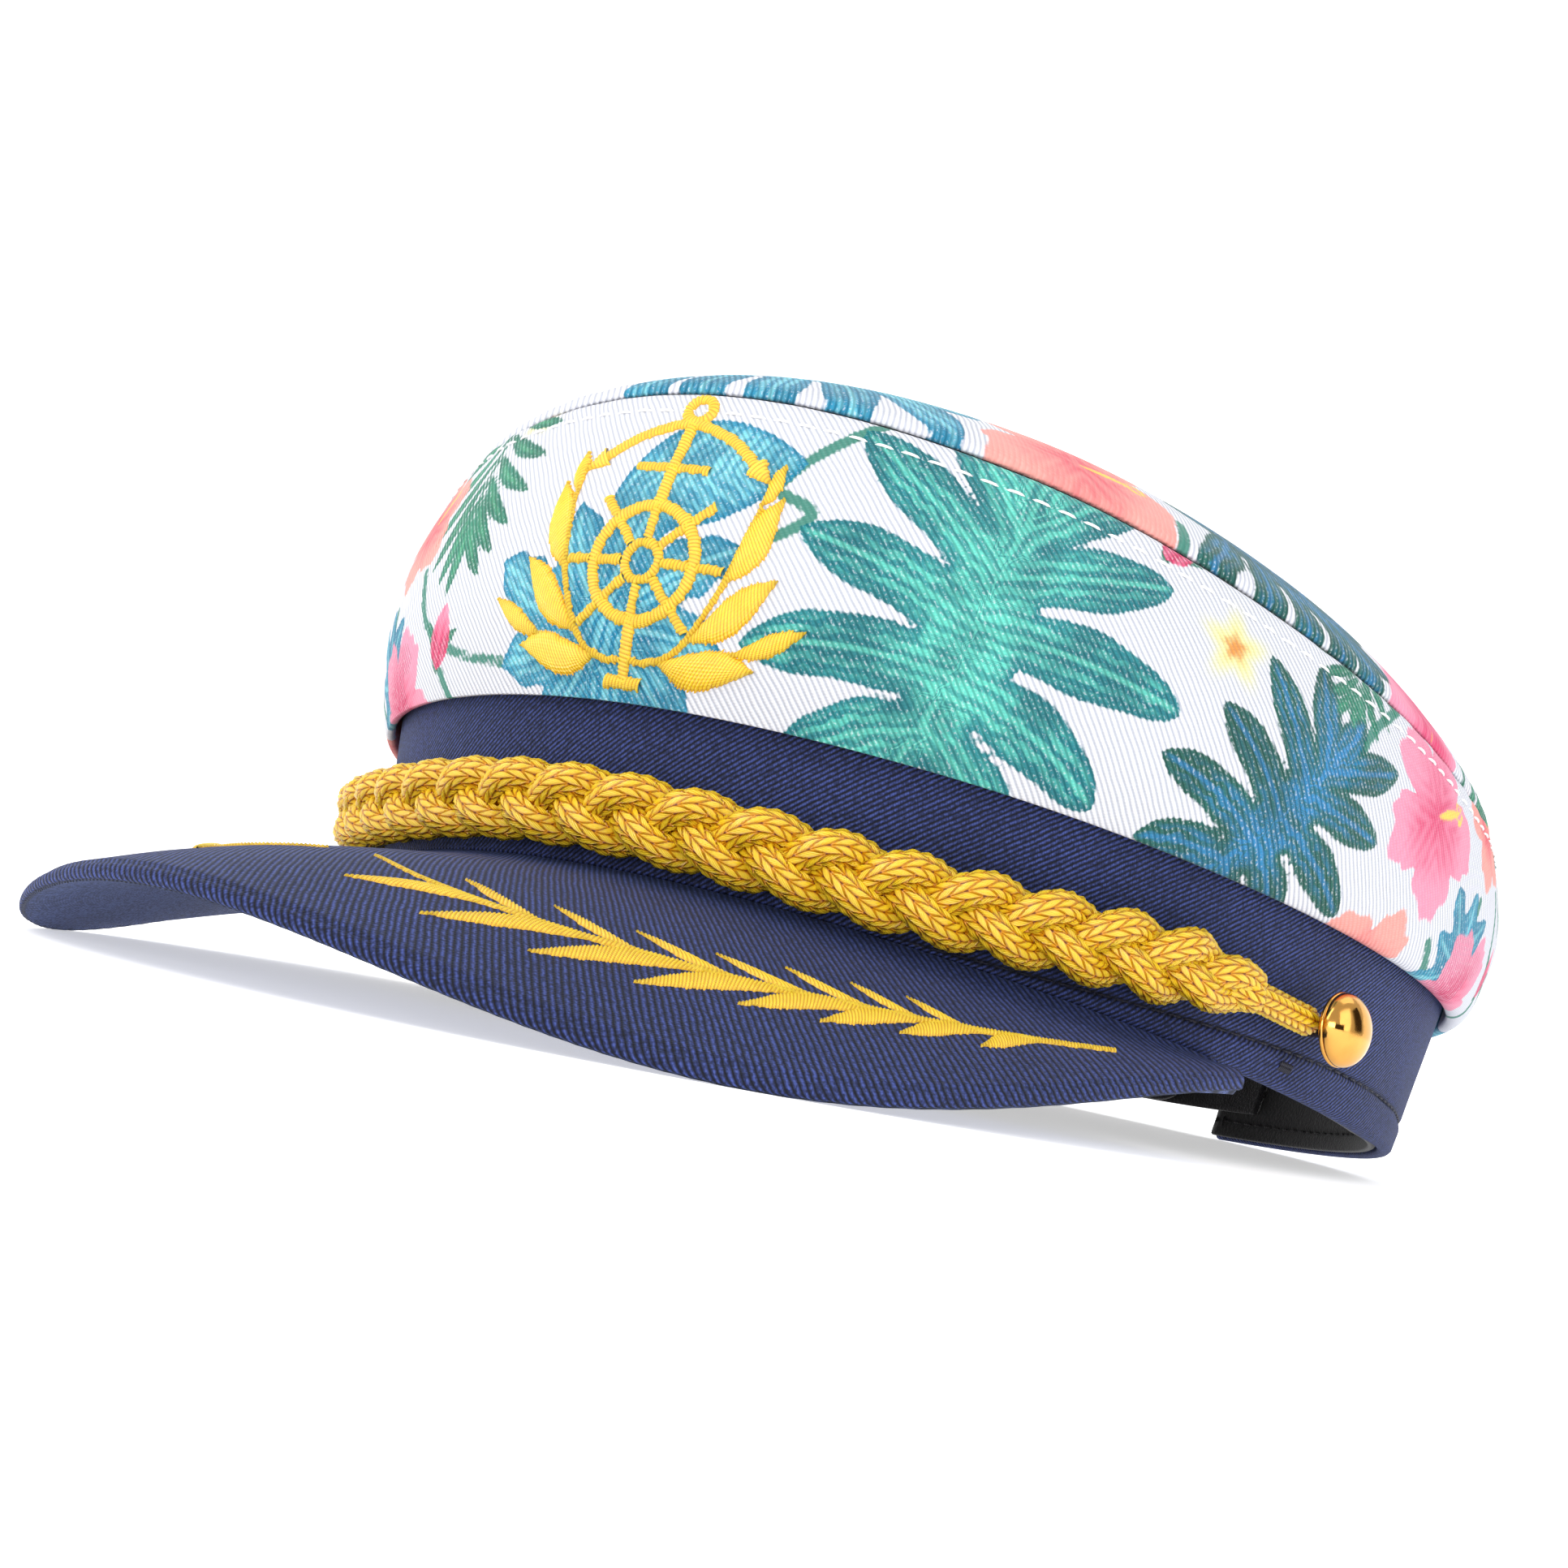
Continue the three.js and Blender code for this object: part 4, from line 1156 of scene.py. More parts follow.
def satin_thread():
    """Shiny embroidery thread, whose filaments run across the numbered ridges. Painted shade darkens it in
    the gaps between the threads, along the edges of each strip and a little between the filaments; its tone
    also varies at random.
    """
    graph = Graph("Gold satin", Roughness=0.26, Specular_IOR_Level=0.8)
    fibre = graph.wave(graph.times(graph.number("fibre"), 3.0))
    speckle = graph.noise(2200.0, 2.0)
    # Painted shade: an orange-brown copy of the satin for the gaps between the threads and the strip edges.
    gap_shade = tinted(colour_of("satin"), 0.66, 0.3, 0.05)
    share = graph.smooth(graph.number("crest"), 0.1, 0.72)
    # Painted shade along both edges of each strip.
    edge = graph.smooth(graph.math("ABSOLUTE", graph.number("fibre")), 1.5, 2.0, 1.0, 0.5)
    tone = graph.smooth(graph.noise(700.0, 2.0), 0.35, 0.6, 0.88, 1.0)
    # The filament ripple adds a little painted shade between the filaments; the tone noise is a random
    # tone.
    share = graph.times(share, edge, tone, graph.math("MULTIPLY_ADD", fibre, 0.1, 0.9))
    graph.paint(graph.mix(share, gap_shade, colour_of("satin")))
    graph.relief(graph.add(graph.times(fibre, 0.7), graph.times(speckle, 0.3)), 0.06)
    return graph.material


def knitted_yarn():
    """Glossy yarn knitted into a cord: pairs of fat legs in a V, with painted shade between them, amber
    along the lines between the legs and dark brown in the holes, and a little between the fibres.
    """
    graph = Graph("Gold yarn", Roughness=0.27, Specular_IOR_Level=0.9)
    wale, course, _ = graph.node("ShaderNodeSeparateXYZ", Vector=graph.vector("knit")).outputs
    leg = graph.math("ABSOLUTE", graph.add(graph.times(graph.math("FRACT", wale), 2.0), -1.0))
    run = graph.add(course, graph.times(leg, KNIT_SLANT))
    ridge = graph.math("ABSOLUTE", graph.math("SINE", graph.times(run, math.pi)))
    fat = graph.math("MAXIMUM", graph.math("SINE", graph.times(leg, math.pi)), 0.0)
    height = graph.math("SQRT", graph.times(ridge, fat))
    fibre = graph.wave(graph.times(run, 6.0))
    # Painted shade: an amber copy of the yarn for the lines between the legs and a dark brown one for the
    # holes.
    amber = tinted(colour_of("yarn"), 0.88, 0.5, 0.06)
    gap_shade = tinted(colour_of("yarn"), 0.22, 0.06, 0.01)
    colour = graph.mix(graph.smooth(graph.add(ridge, fat), 0.2, 0.62), gap_shade, amber)
    # The yarn's own colour shows on the crests of the legs and fades into the painted shade below them, a
    # little between the fibres too.
    share = graph.times(graph.smooth(height, 0.3, 0.85), graph.math("MULTIPLY_ADD", fibre, 0.14, 0.86))
    graph.paint(graph.mix(share, colour, colour_of("yarn")))
    graph.relief(graph.add(height, graph.times(fibre, 0.08)), 0.5)
    return graph.material


def sewing_thread(name, colour, shadow=0.6):
    """Plied thread, with painted shade between its plies."""
    graph = Graph(name, Roughness=0.55, Specular_IOR_Level=0.45)
    ply = graph.wave(graph.number("fibre"))
    # Painted shade: a darker copy of the thread for the hollows between the plies.
    dark = tinted(colour, shadow)
    graph.paint(graph.mix(ply, dark, colour))
    graph.relief(ply, 0.08)
    return graph.material


def polished_gold():
    """Polished plated metal with faint rubbing."""
    graph = Graph("Polished gold", Metallic=1.0, Coat_Weight=0.25, Coat_Roughness=0.06)
    rubbed = graph.noise(420.0, 4.0)
    fine = graph.noise(5200.0, 1.0)
    graph.feed(graph.surface.inputs["Roughness"], graph.smooth(rubbed, 0.35, 0.75, 0.09, 0.22))
    tone = graph.mix(graph.smooth(rubbed, 0.3, 0.7, 0.0, 0.25), colour_of("gold"), linear(196, 128, 52))
    graph.paint(tone)
    graph.relief(fine, 0.004)
    return graph.material


def stage_paper():
    """White paper that glows a little, so that it stays white in the picture."""
    graph = Graph(
        "Stage paper", Roughness=0.9, Specular_IOR_Level=0.1,
        Emission_Color=(1.0, 1.0, 1.0, 1.0), Emission_Strength=0.52,
    )
    tone = graph.mix(graph.noise(3.0, 1.0), linear(250, 250, 251), linear(253, 253, 253))
    graph.paint(tone)
    return graph.material


def shared(name, make):
    """A material that several pieces share, made by the first one that needs it."""
    return bpy.data.materials.get(name) or make()


# Pieces
def around_table():
    """Degrees round the wall against millimetres of cloth from the front."""
    degrees = np.arange(-180, 180.1, 0.5)
    run = run_along(wall_point(degrees, 0.5))
    return degrees, run - np.interp(0, degrees, run)


AROUND_DEGREES, AROUND_RUN = around_table()


def degrees_at(run):
    return np.interp(run, AROUND_RUN, AROUND_DEGREES)


def run_at(degrees):
    return np.interp(degrees, AROUND_DEGREES, AROUND_RUN)


def crown_wall_sections():
    """The wall's sections round the hat: the printed face down from the seam, round the roll
    and up behind it, and then the lining face back to the seam."""
    reach = GAP_HALF_ANGLE * 1.02
    sides = degrees_at(np.linspace(run_at(reach - 180), run_at(180 - reach), WALL_COLUMNS))
    gap = 180 + reach * np.sin(np.linspace(-np.pi / 2, np.pi / 2, ARCH_COLUMNS))[1:-1]
    degrees = np.concatenate([sides, np.where(gap > 180, gap - 360, gap)])
    low = fold_height(degrees)

    def hem(height, out):
        z = low + height
        return rim_point(degrees, BAND_FLARE * np.minimum(z, BAND_HEIGHT) + HEM_CLEARANCE + out, z)

    turned_up = np.linspace(HEM_HEIGHT, 1.0, 5)
    printed_hem = np.stack([hem(height, 0.05) for height in turned_up], 1)
    inner_corner = corner_curve(hem(1.0, 0.05), hem(0.0, 0.05), hem(0.0, 1.2), 4)[:, 1:]
    roll = corner_curve(hem(0.0, 1.2), wall_point(degrees, 0.0), wall_point(degrees, 0.14), 10)[:, 1:]
    shares = np.linspace(0.14, 0.96, 44)[1:]
    face = np.stack([wall_point(degrees, share) for share in shares], 1)
    groove = seam_point(degrees, -SEAM_DEPTH, seam_height(degrees) + 0.75)
    corner = wall_point(degrees, 1.0) + [0, 0, 0.45]
    top = corner_curve(wall_point(degrees, 0.96), corner, groove, 6)[:, 1:]
    printed = np.concatenate([printed_hem, inner_corner, roll, face, top], 1)
    back_shares = np.linspace(0.97, 0.1, 10)
    lining = np.stack([wall_point(degrees, share, -CROWN_WALL) for share in back_shares], 1)
    lining_hem = np.stack([hem(height, CROWN_WALL - 0.3) for height in (CROWN_WALL + 0.8, HEM_HEIGHT)], 1)
    return degrees, printed, np.concatenate([lining, lining_hem], 1)


def crown_face():
    """The wall's sections with its soft waves, its lining, and at each printed point the
    millimetres round from the front, up from the roll and down from the seam."""
    degrees, printed, lining = crown_wall_sections()
    height = run_along(printed, axis=1)
    up = height - height[:, [ROLL_COLUMN]]
    to_seam = height[:, [-1]] - height
    around = np.broadcast_to(run_at(degrees)[:, None], up.shape)
    outward = rim_outward(degrees)[:, None]
    wave = seam_pucker(around, to_seam) + soft_creases(around, up) * smoothstep(up, 1.5, 8)
    wave = wave * smoothstep(to_seam, 0, 2)
    return printed + outward * wave[..., None], lining, around, up, to_seam


def build_crown_wall():
    """The crown's wall, printed outside and lined inside."""
    printed, lining, around, up, _ = crown_face()
    rows, columns = up.shape
    points = np.concatenate([printed, lining], 1)
    count = points.shape[1]
    faces = grid_faces(rows, count, ring=True, loop=True)
    slots = (np.tile(np.arange(count), rows) >= columns - 1).astype(int)
    cut = up + arch_rise(degrees_at(around[:, :1]))
    numbers = wall_print(np.stack([around.ravel(), cut.ravel()], 1))
    numbers["weave"] = np.stack([around, cut, np.zeros_like(up)], -1)
    cloth = Cloth()
    padded = {}
    for key, value in numbers.items():
        value = value.reshape(rows, columns, -1)
        tail = np.broadcast_to(value[:, -1:], (rows, count - columns, value.shape[2]))
        padded[key] = np.concatenate([value, tail], 1)
    cloth.patch(points, faces, slots, **padded)
    materials = [shared("Printed twill", printed_twill), shared("Black lining", black_lining)]
    place_piece(cloth, "crown_wall_cloth", materials, ["crown_side"])


def build_crown_panel():
    """The top panel, whose edge turns down into the seam."""
    degrees = degrees_at(np.linspace(AROUND_RUN[0], AROUND_RUN[-1], PANEL_ROWS + 1)[:-1])
    share = np.linspace(0, 1, PANEL_COLUMNS) ** 0.75 * 0.975
    lift = CLEARANCE + CROWN_WALL
    face = top_point(degrees[:, None], share[None], lift)
    rim = top_point(degrees, 1.0, lift)
    groove = seam_point(degrees, -SEAM_DEPTH, seam_height(degrees) + 0.9)
    edge = corner_curve(face[:, -1], rim, groove, 6)[:, 1:]
    printed = np.concatenate([face, edge], 1)
    around = np.broadcast_to(run_at(degrees)[:, None], printed.shape[:2])
    run = run_along(printed, axis=1)
    to_seam = run[:, [-1]] - run
    pucker = seam_pucker(around + 3, to_seam) * smoothstep(to_seam, 0, 2) * smoothstep(run, 0, 20)
    printed[..., 2] += pucker
    lining_shares = np.linspace(0.985, 0, 12)
    lining = top_point(degrees[:, None], lining_shares[None], CLEARANCE)
    points = np.concatenate([printed, lining], 1)
    rows, count = points.shape[:2]
    faces = grid_faces(rows, count, ring=True)
    slots = (np.tile(np.arange(count - 1), rows) >= printed.shape[1] - 1).astype(int)
    plan = points[..., :2].reshape(-1, 2)
    numbers = top_print(plan)
    numbers["weave"] = np.concatenate([plan, np.zeros((len(plan), 1))], 1)
    cloth = Cloth()
    cloth.patch(points, faces, slots, **numbers)
    materials = [shared("Printed twill", printed_twill), shared("Black lining", black_lining)]
    place_piece(cloth, "crown_panel_cloth", materials, ["crown_top"], weld=0.002)


def stitches(cloth, line, normals, length, gap, radius):
    """A row of stitches along a line on a cloth, each one bowed and dipping at its ends."""
    count = max(1, int(line_length(line) / (length + gap)))
    run = run_along(line)
    share = np.linspace(0, 1, STITCH_POINTS)
    wanted = (np.arange(count)[:, None] * (length + gap) + share[None] * length).ravel()
    shape = (count, STITCH_POINTS, 3)
    place = sample(line, run, wanted).reshape(shape)
    normal = unit(sample(normals, run, wanted)).reshape(shape)
    rise = radius * (1.0 - STITCH_DIP * 4 * (share - 0.5) ** 2 * 1.9)
    place = place + normal * rise[None, :, None]
    ahead = unit(np.gradient(place, axis=1))
    side = unit(np.cross(ahead, normal))
    turn = np.arange(STITCH_SIDES) / STITCH_SIDES
    angle = np.linspace(0, 2 * np.pi, STITCH_SIDES, endpoint=False)[:, None]
    thick = radius * np.sqrt(np.clip(1 - (2 * share - 1) ** 6, 0.05, 1))
    ring = side[:, :, None] * np.cos(angle) + normal[:, :, None] * np.sin(angle)
    points = place[:, :, None] + ring * thick[None, :, None, None]
    fibre = wanted.reshape(count, STITCH_POINTS)[:, :, None] * 1.4 + turn
    for k in range(count):
        tube(cloth, points[k], turned=True, fibre=fibre[k])


def outward_of(points, forward):
    """Unit normals along a line on a surface, from the points a little further up the surface."""
    return unit(np.cross(np.gradient(points, axis=0), forward - points))


def face_line(offset):
    """A line on the crown wall at a distance down from the seam, and a second one just above."""
    printed, _, around, _, to_seam = crown_face()
    order = np.argsort(around[:, 0])
    lines = []
    for distance in (offset, offset - 0.5):
        line = [sample(printed[r, ::-1], to_seam[r, ::-1], [distance])[0] for r in order]
        lines.append(np.array(line + line[:1]))
    return lines


def build_seam_stitches():
    """White stitches beside the top seam, broken where the thread sinks into the twill."""
    line, above = face_line(size_of("seam_offset"))
    normals = outward_of(line, above)
    cloth = Cloth()
    stitches(cloth, line, normals, size_of("seam_stitch"), size_of("seam_gap"), size_of("stitch_radius"))
    thread = sewing_thread("White thread", linear(254, 254, 254), 0.9)
    place_piece(cloth, "seam_stitches", [thread])


def strip_degrees(step):
    """Evenly spaced angles from one end of the band to the other."""
    end = 180 - GAP_HALF_ANGLE
    count = int((run_at(end) - run_at(-end)) / step)
    return degrees_at(np.linspace(run_at(-end), run_at(end), count))


def stitch_height(degrees):
    """Height of the band's row of stitches, which climbs towards the buttons."""
    return -0.3 + 2.9 * smoothstep(np.abs(degrees), 30.0, 84.0)


def band_profile(degrees, z):
    """How far the band's face stands off: a groove under the stitches, a soft hem below."""
    line = stitch_height(degrees)
    groove = np.exp(-(((z - line) / 0.45) ** 2))
    hem = smoothstep(z, line, line - 1.6)
    ripple = 0.1 * np.sin(run_at(degrees) / 3.3) * np.exp(-np.abs(z - line) / 2.5)
    return -0.42 * groove + 0.28 * hem + ripple, groove


def build_band():
    """The navy band with its stitched hem; its upper part stands behind the crown's roll."""
    degrees = strip_degrees(1.1)
    turn = degrees[:, None]
    foot = rim_height(rim_point(degrees, 0.0, 0.0)[:, 1])[:, None]
    down = np.concatenate([np.linspace(1, 0.34, 14), np.linspace(0.34, 0.03, 26)[1:]])
    z = foot + (BAND_HEIGHT - foot) * down[None]
    stand, groove = band_profile(turn, z)
    outer = rim_point(turn, BAND_FLARE * z + stand - 0.3, z)
    angle = np.linspace(0, np.pi, 9)[1:-1]
    middle = BAND_FLARE * foot - BAND_WALL / 2
    lip_z = foot + 0.8 * (1 - np.sin(angle))[None]
    lip = rim_point(turn, middle + BAND_WALL / 2 * np.cos(angle)[None], lip_z)
    up = np.linspace(0.06, 1, 6)
    inner_z = foot + (BAND_HEIGHT - foot) * up[None]
    inner = rim_point(turn, BAND_FLARE * inner_z - BAND_WALL, inner_z)
    points = np.concatenate([outer, lip, inner], 1)
    height = points[..., 2] - foot
    # The groove numbers also carry painted shade along the stitch line into the band's material.
    grooves = np.concatenate([groove, np.zeros((len(degrees), points.shape[1] - groove.shape[1]))], 1)
    weave = np.stack([np.broadcast_to(run_at(degrees)[:, None], height.shape), height, 0 * height], -1)
    cloth = Cloth()
    tube(cloth, points, turned=True, weave=weave, groove=grooves)
    material = navy_twill("Navy band twill", "navy", size_of("navy_rib"), BAND_SLANT)
    place_piece(cloth, "band_cloth", [material], ["hat_band"])


def build_band_stitches():
    """Dark stitches in the band's groove, and the tacks beside each button."""
    cloth = Cloth()
    degrees = strip_degrees(0.8)
    z = stitch_height(degrees)
    out = BAND_FLARE * z - 0.72
    line = rim_point(degrees, out, z)
    normals = unit(rim_point(degrees, out + 1, z - BAND_FLARE) - line)
    radius = size_of("stitch_radius")
    stitches(cloth, line, normals, size_of("band_stitch"), 0.5, radius * 0.9)
    low = BUTTON_HEIGHT - 7.4
    heights = np.linspace(low, low + 2.4, 6)
    for side in (-1, 1):
        for k in range(8):
            turn = side * (BUTTON_ANGLE - 1.6 + 0.22 * k)
            leaning = turn + side * np.linspace(0, 0.5, 6)
            tack = rim_point(leaning, BAND_FLARE * heights - 0.25, heights)
            outward = np.broadcast_to(rim_outward(turn), tack.shape)
            stitches(cloth, tack, outward, 2.1, 0.3, radius)
    thread = sewing_thread("Dark thread", linear(20, 22, 44))
    place_piece(cloth, "band_stitches", [thread])


def visor_sections():
    """Loops across the visor: the top from the band out, the rolled edge, and the underside."""
    sweep = np.linspace(-1, 1, VISOR_ROWS)
    along = 0.35 * np.sin(sweep * np.pi / 2) + 0.65 * sweep
    radius = EDGE_RADIUS
    outward = visor_point(along, 1.0) - visor_point(along, 0.0)
    stop = 1 - (radius + 0.3) / np.linalg.norm(outward, axis=1)
    depths = np.concatenate([[-1.0], np.linspace(0, 1, VISOR_COLUMNS)])
    out = np.where(depths < 0, -1.0, depths * stop[:, None])
    draw = VISOR_THICKNESS / 2 - radius
    top = visor_point(along[:, None], out, VISOR_THICKNESS)
    top[..., 2] -= (draw - EDGE_LIFT) * smoothstep(out / stop[:, None], 1 - EDGE_DRAW, 1)
    ahead = unit(outward * [1, 1, 0])
    angle = np.linspace(np.pi / 2, -np.pi / 2, 18)[1:-1]
    forth = ahead[:, None] * (radius * (np.cos(angle) - 1.0))[None, :, None]
    rise = np.array([0, 0, 1.0]) * (VISOR_THICKNESS / 2 + EDGE_LIFT + radius * np.sin(angle))[None, :, None]
    lip = visor_edge(along)[:, None] + forth + rise
    depths = np.concatenate([np.linspace(1, 0, 26), [-1.0]])
    out = np.where(depths < 0, -1.0, depths * stop[:, None])
    under = visor_point(along[:, None], out, 0.0)
    under[..., 2] += (draw + EDGE_LIFT) * smoothstep(out / stop[:, None], 1 - EDGE_DRAW, 1)
    return top, lip, under


def build_visor():
    """The visor: twill over a stiff core, rolled round the edge to a seam beneath."""
    top, lip, under = visor_sections()
    near_band = np.linspace(0, 1, VISOR_COLUMNS) * 8
    top[:, 1:, 2] += CLEARANCE * np.clip(1 - near_band, 0, 1)
    top[:, 0, 2] += CLEARANCE
    points = np.concatenate([top, lip, under], 1)
    rows, count = points.shape[:2]
    run = run_along(points, axis=1)
    first_lip = top.shape[1]
    last_lip = first_lip + lip.shape[1]
    seam_run = run[:, [last_lip - 2]]
    # The groove numbers also carry painted shade along the edge seam into the visor's materials.
    groove = np.exp(-(((run - seam_run) / 0.4) ** 2))
    points[..., 2] += 0.4 * groove
    edge_run = run[:, [first_lip + lip.shape[1] // 2]]
    near_edge = np.exp(-(((run - edge_run) / 2.6) ** 2))
    gather = 0.03 * np.sin(points[..., 0] * 2 * np.pi / (3 * size_of("visor_rib"))) * near_edge
    points[..., 2] += gather
    weave = np.stack([points[..., 0], run, np.zeros_like(run)], -1)
    upper = navy_twill("Navy visor twill", "navy", size_of("visor_rib"), VISOR_SLANT, 0.2)
    lower = navy_twill("Navy underside twill", "navy_under", size_of("visor_rib"), UNDER_SLANT, 0.12)
    cloth = Cloth()
    tube(cloth, points, weave=weave, groove=groove)
    slots = (np.tile(np.arange(count), rows - 1) >= last_lip - 2).astype(int)
    cloth.slots[0] = slots
    place_piece(cloth, "visor_cloth", [upper, lower], ["visor"])


def build_sweatband():
    """The black sweatband inside the band, with stitched edges."""
    degrees = strip_degrees(1.6)
    turn = degrees[:, None]
    outside = -BAND_WALL - CLEARANCE
    inside = outside - SWEATBAND_WALL
    foot = rim_height(rim_point(degrees, outside, 0.0)[:, 1])[:, None] + SWEATBAND_SETBACK
    down = np.linspace(1, 0.03, 8)[None]
    outer_z = foot + (SWEATBAND_HEIGHT - foot) * down
    outer = rim_point(turn, outside + BAND_FLARE * outer_z, outer_z)
    angle = np.linspace(0, np.pi, 7)[1:-1]
    lip_z = foot + 0.55 * (1 - np.sin(angle))[None]
    lip_out = (outside + inside) / 2 + BAND_FLARE * foot + SWEATBAND_WALL / 2 * np.cos(angle)[None]
    lip = rim_point(turn, lip_out, lip_z)
    up = np.linspace(0.03, 1, 34)[None]
    inner_z = foot + (SWEATBAND_HEIGHT - foot) * up
    hem = 0.0
    for stitched in (foot + 3.2, SWEATBAND_HEIGHT - 3.0):
        hem = hem - 0.3 * np.exp(-(((inner_z - stitched) / 0.5) ** 2))
    slack = 0.12 * np.sin(run_at(turn) / 9 + inner_z / 7) * np.sin(run_at(turn) / 23)
    inner = rim_point(turn, inside + BAND_FLARE * inner_z - hem + slack, inner_z)
    points = np.concatenate([outer, lip, inner], 1)
    cloth = Cloth()
    tube(cloth, points, turned=True)
    material = shared("Black lining", black_lining)
    place_piece(cloth, "sweatband_cloth", [material], ["sweatband"])


def build_lining_stitches():
    """Stitches round the sweatband's lower and upper edges and down its ends."""
    cloth = Cloth()
    degrees = strip_degrees(1.0)
    inside = -BAND_WALL - CLEARANCE - SWEATBAND_WALL
    foot = rim_height(rim_point(degrees, inside, 0.0)[:, 1]) + SWEATBAND_SETBACK
    radius = size_of("stitch_radius")
    for z in (foot + 3.2, np.full(len(degrees), SWEATBAND_HEIGHT - 3.0)):
        line = rim_point(degrees, inside + BAND_FLARE * z + 0.12, z)
        normals = -rim_outward(degrees)
        stitches(cloth, line, normals, size_of("band_stitch"), 0.7, radius)
    for side in (-1, 1):
        turn = side * (180 - GAP_HALF_ANGLE - 1.6)
        z = np.linspace(2.0, SWEATBAND_HEIGHT - 3.5, 30)
        line = rim_point(np.full(30, turn), inside + BAND_FLARE * z - 0.02, z)
        normals = np.broadcast_to(-rim_outward(turn), line.shape)
        stitches(cloth, line, normals, size_of("band_stitch"), 0.7, radius)
    thread = sewing_thread("Black thread", linear(26, 25, 28))
    place_piece(cloth, "lining_stitches", [thread])


def strap_sections(side, layer):
    """Rounded sections of one strap half, from inside the sweatband's end past the middle."""
    start = 180 - GAP_HALF_ANGLE - math.degrees(STRAP_TUCK / HALF_WIDTH)
    end = 180 + math.degrees(STRAP_LAP / HALF_WIDTH)
    turn = np.linspace(start, end, 120)[:, None]
    inside = -BAND_WALL - CLEARANCE - SWEATBAND_WALL - CLEARANCE - 0.1
    drawn = inside - layer * (STRAP_WALL + CLEARANCE)
    seat = inside + (drawn - inside) * smoothstep(turn, start, 180 - GAP_HALF_ANGLE + 5)
    seat = seat - STRAP_WALL / 2
    angle = np.linspace(0, 2 * np.pi, 44, endpoint=False)[None]
    squared = np.sign(np.sin(angle)) * np.abs(np.sin(angle)) ** 0.55
    tip = np.sqrt(np.clip(1 - ((turn - end + 4.5) / 4.5).clip(0, 1) ** 3 * 0.35, 0, 1))
    z = STRAP_LIFT + STRAP_HEIGHT / 2 * (1 + squared * tip)
    thick = np.sign(np.cos(angle)) * np.abs(np.cos(angle)) ** 0.35 * STRAP_WALL / 2
    wave = 0.25 * np.sin(turn / 5.0 + layer) * np.sin(turn / 13.0)
    return rim_point(side * turn, seat + BAND_FLARE * z + thick + wave * 0.4, z)


def build_straps():
    """Two strap halves that lap at the back, faced with looped pile."""
    fleece = strap_fleece()
    for name, side, layer in (("strap_left", 1, 0), ("strap_right", -1, 1)):
        cloth = Cloth()
        tube(cloth, strap_sections(side, layer), turned=side < 0)
        place_piece(cloth, name + "_cloth", [fleece], [name])


def plait_height(degrees):
    turn = degrees / PLAIT_END_ANGLE
    return PLAIT_HEIGHT + PLAIT_LIFT * (1 - np.sin(np.pi * np.abs(turn)) ** 2)


def plait_line(strand, count):
    """The middle line of one strand, and the outward direction along it."""
    share = np.linspace(0, 1, count)
    phase = 2 * np.pi * (share * PLAIT_PITCHES + strand / 3)
    degrees = PLAIT_END_ANGLE * (2 * share - 1)
    narrow = np.minimum(1, np.minimum(share * 14 + 0.15, (1 - share) * 14 + 0.15))
    z = plait_height(degrees) + narrow * (PLAIT_WIDTH / 2 - CORD_RADIUS) * np.sin(phase)
    out = BAND_FLARE * z + 2 * CLEARANCE + PLAIT_DEPTH / 2
    depth = PLAIT_DEPTH / 2 - CORD_RADIUS
    line = rim_point(degrees, out + narrow * depth * np.sin(2 * phase), z)
    return line, rim_outward(degrees)


def knitted_cord(cloth, line, outward, radius, flat, sides, wales):
    """A cord of knitted stitches, whose columns of V-shaped loops run along it."""
    course = size_of("knit_course")
    count = int(line_length(line) / (course / 5))
    run = run_along(line)
    wanted = np.linspace(0, run[-1], count)
    line = sample(line, run, wanted)
    outward = unit(sample(outward, run, wanted))
    ahead = unit(np.gradient(line, axis=0))
    side = unit(np.cross(ahead, outward))
    normal = np.cross(side, ahead)
    turn = np.arange(sides) / sides
    angle = 2 * np.pi * (turn - 0.25)
    leg = np.abs(2 * ((turn * wales) % 1) - 1)
    courses = wanted[:, None] / course + KNIT_SLANT * leg[None]
    ridge = np.abs(np.sin(np.pi * courses)) ** 0.75
    fat = np.sin(np.pi * np.clip(leg, 0.04, 0.96)) ** 0.5
    relief = size_of("knit_relief") * (ridge * fat[None] - 0.62)
    ends = np.minimum(1, np.minimum(wanted, wanted[-1] - wanted) / radius + 0.25)[:, None]
    reach = (radius + relief) * np.sqrt(ends)
    across = side[:, None] * (np.cos(angle)[None] * reach)[..., None]
    through = normal[:, None] * (np.sin(angle)[None] * reach * flat)[..., None]
    along = np.broadcast_to(wanted[:, None] / course, courses.shape)
    wale = np.broadcast_to(turn[None] * wales, courses.shape)
    tube(cloth, line[:, None] + across + through, turned=True, knit=np.stack([wale, along, 0 * along], -1))


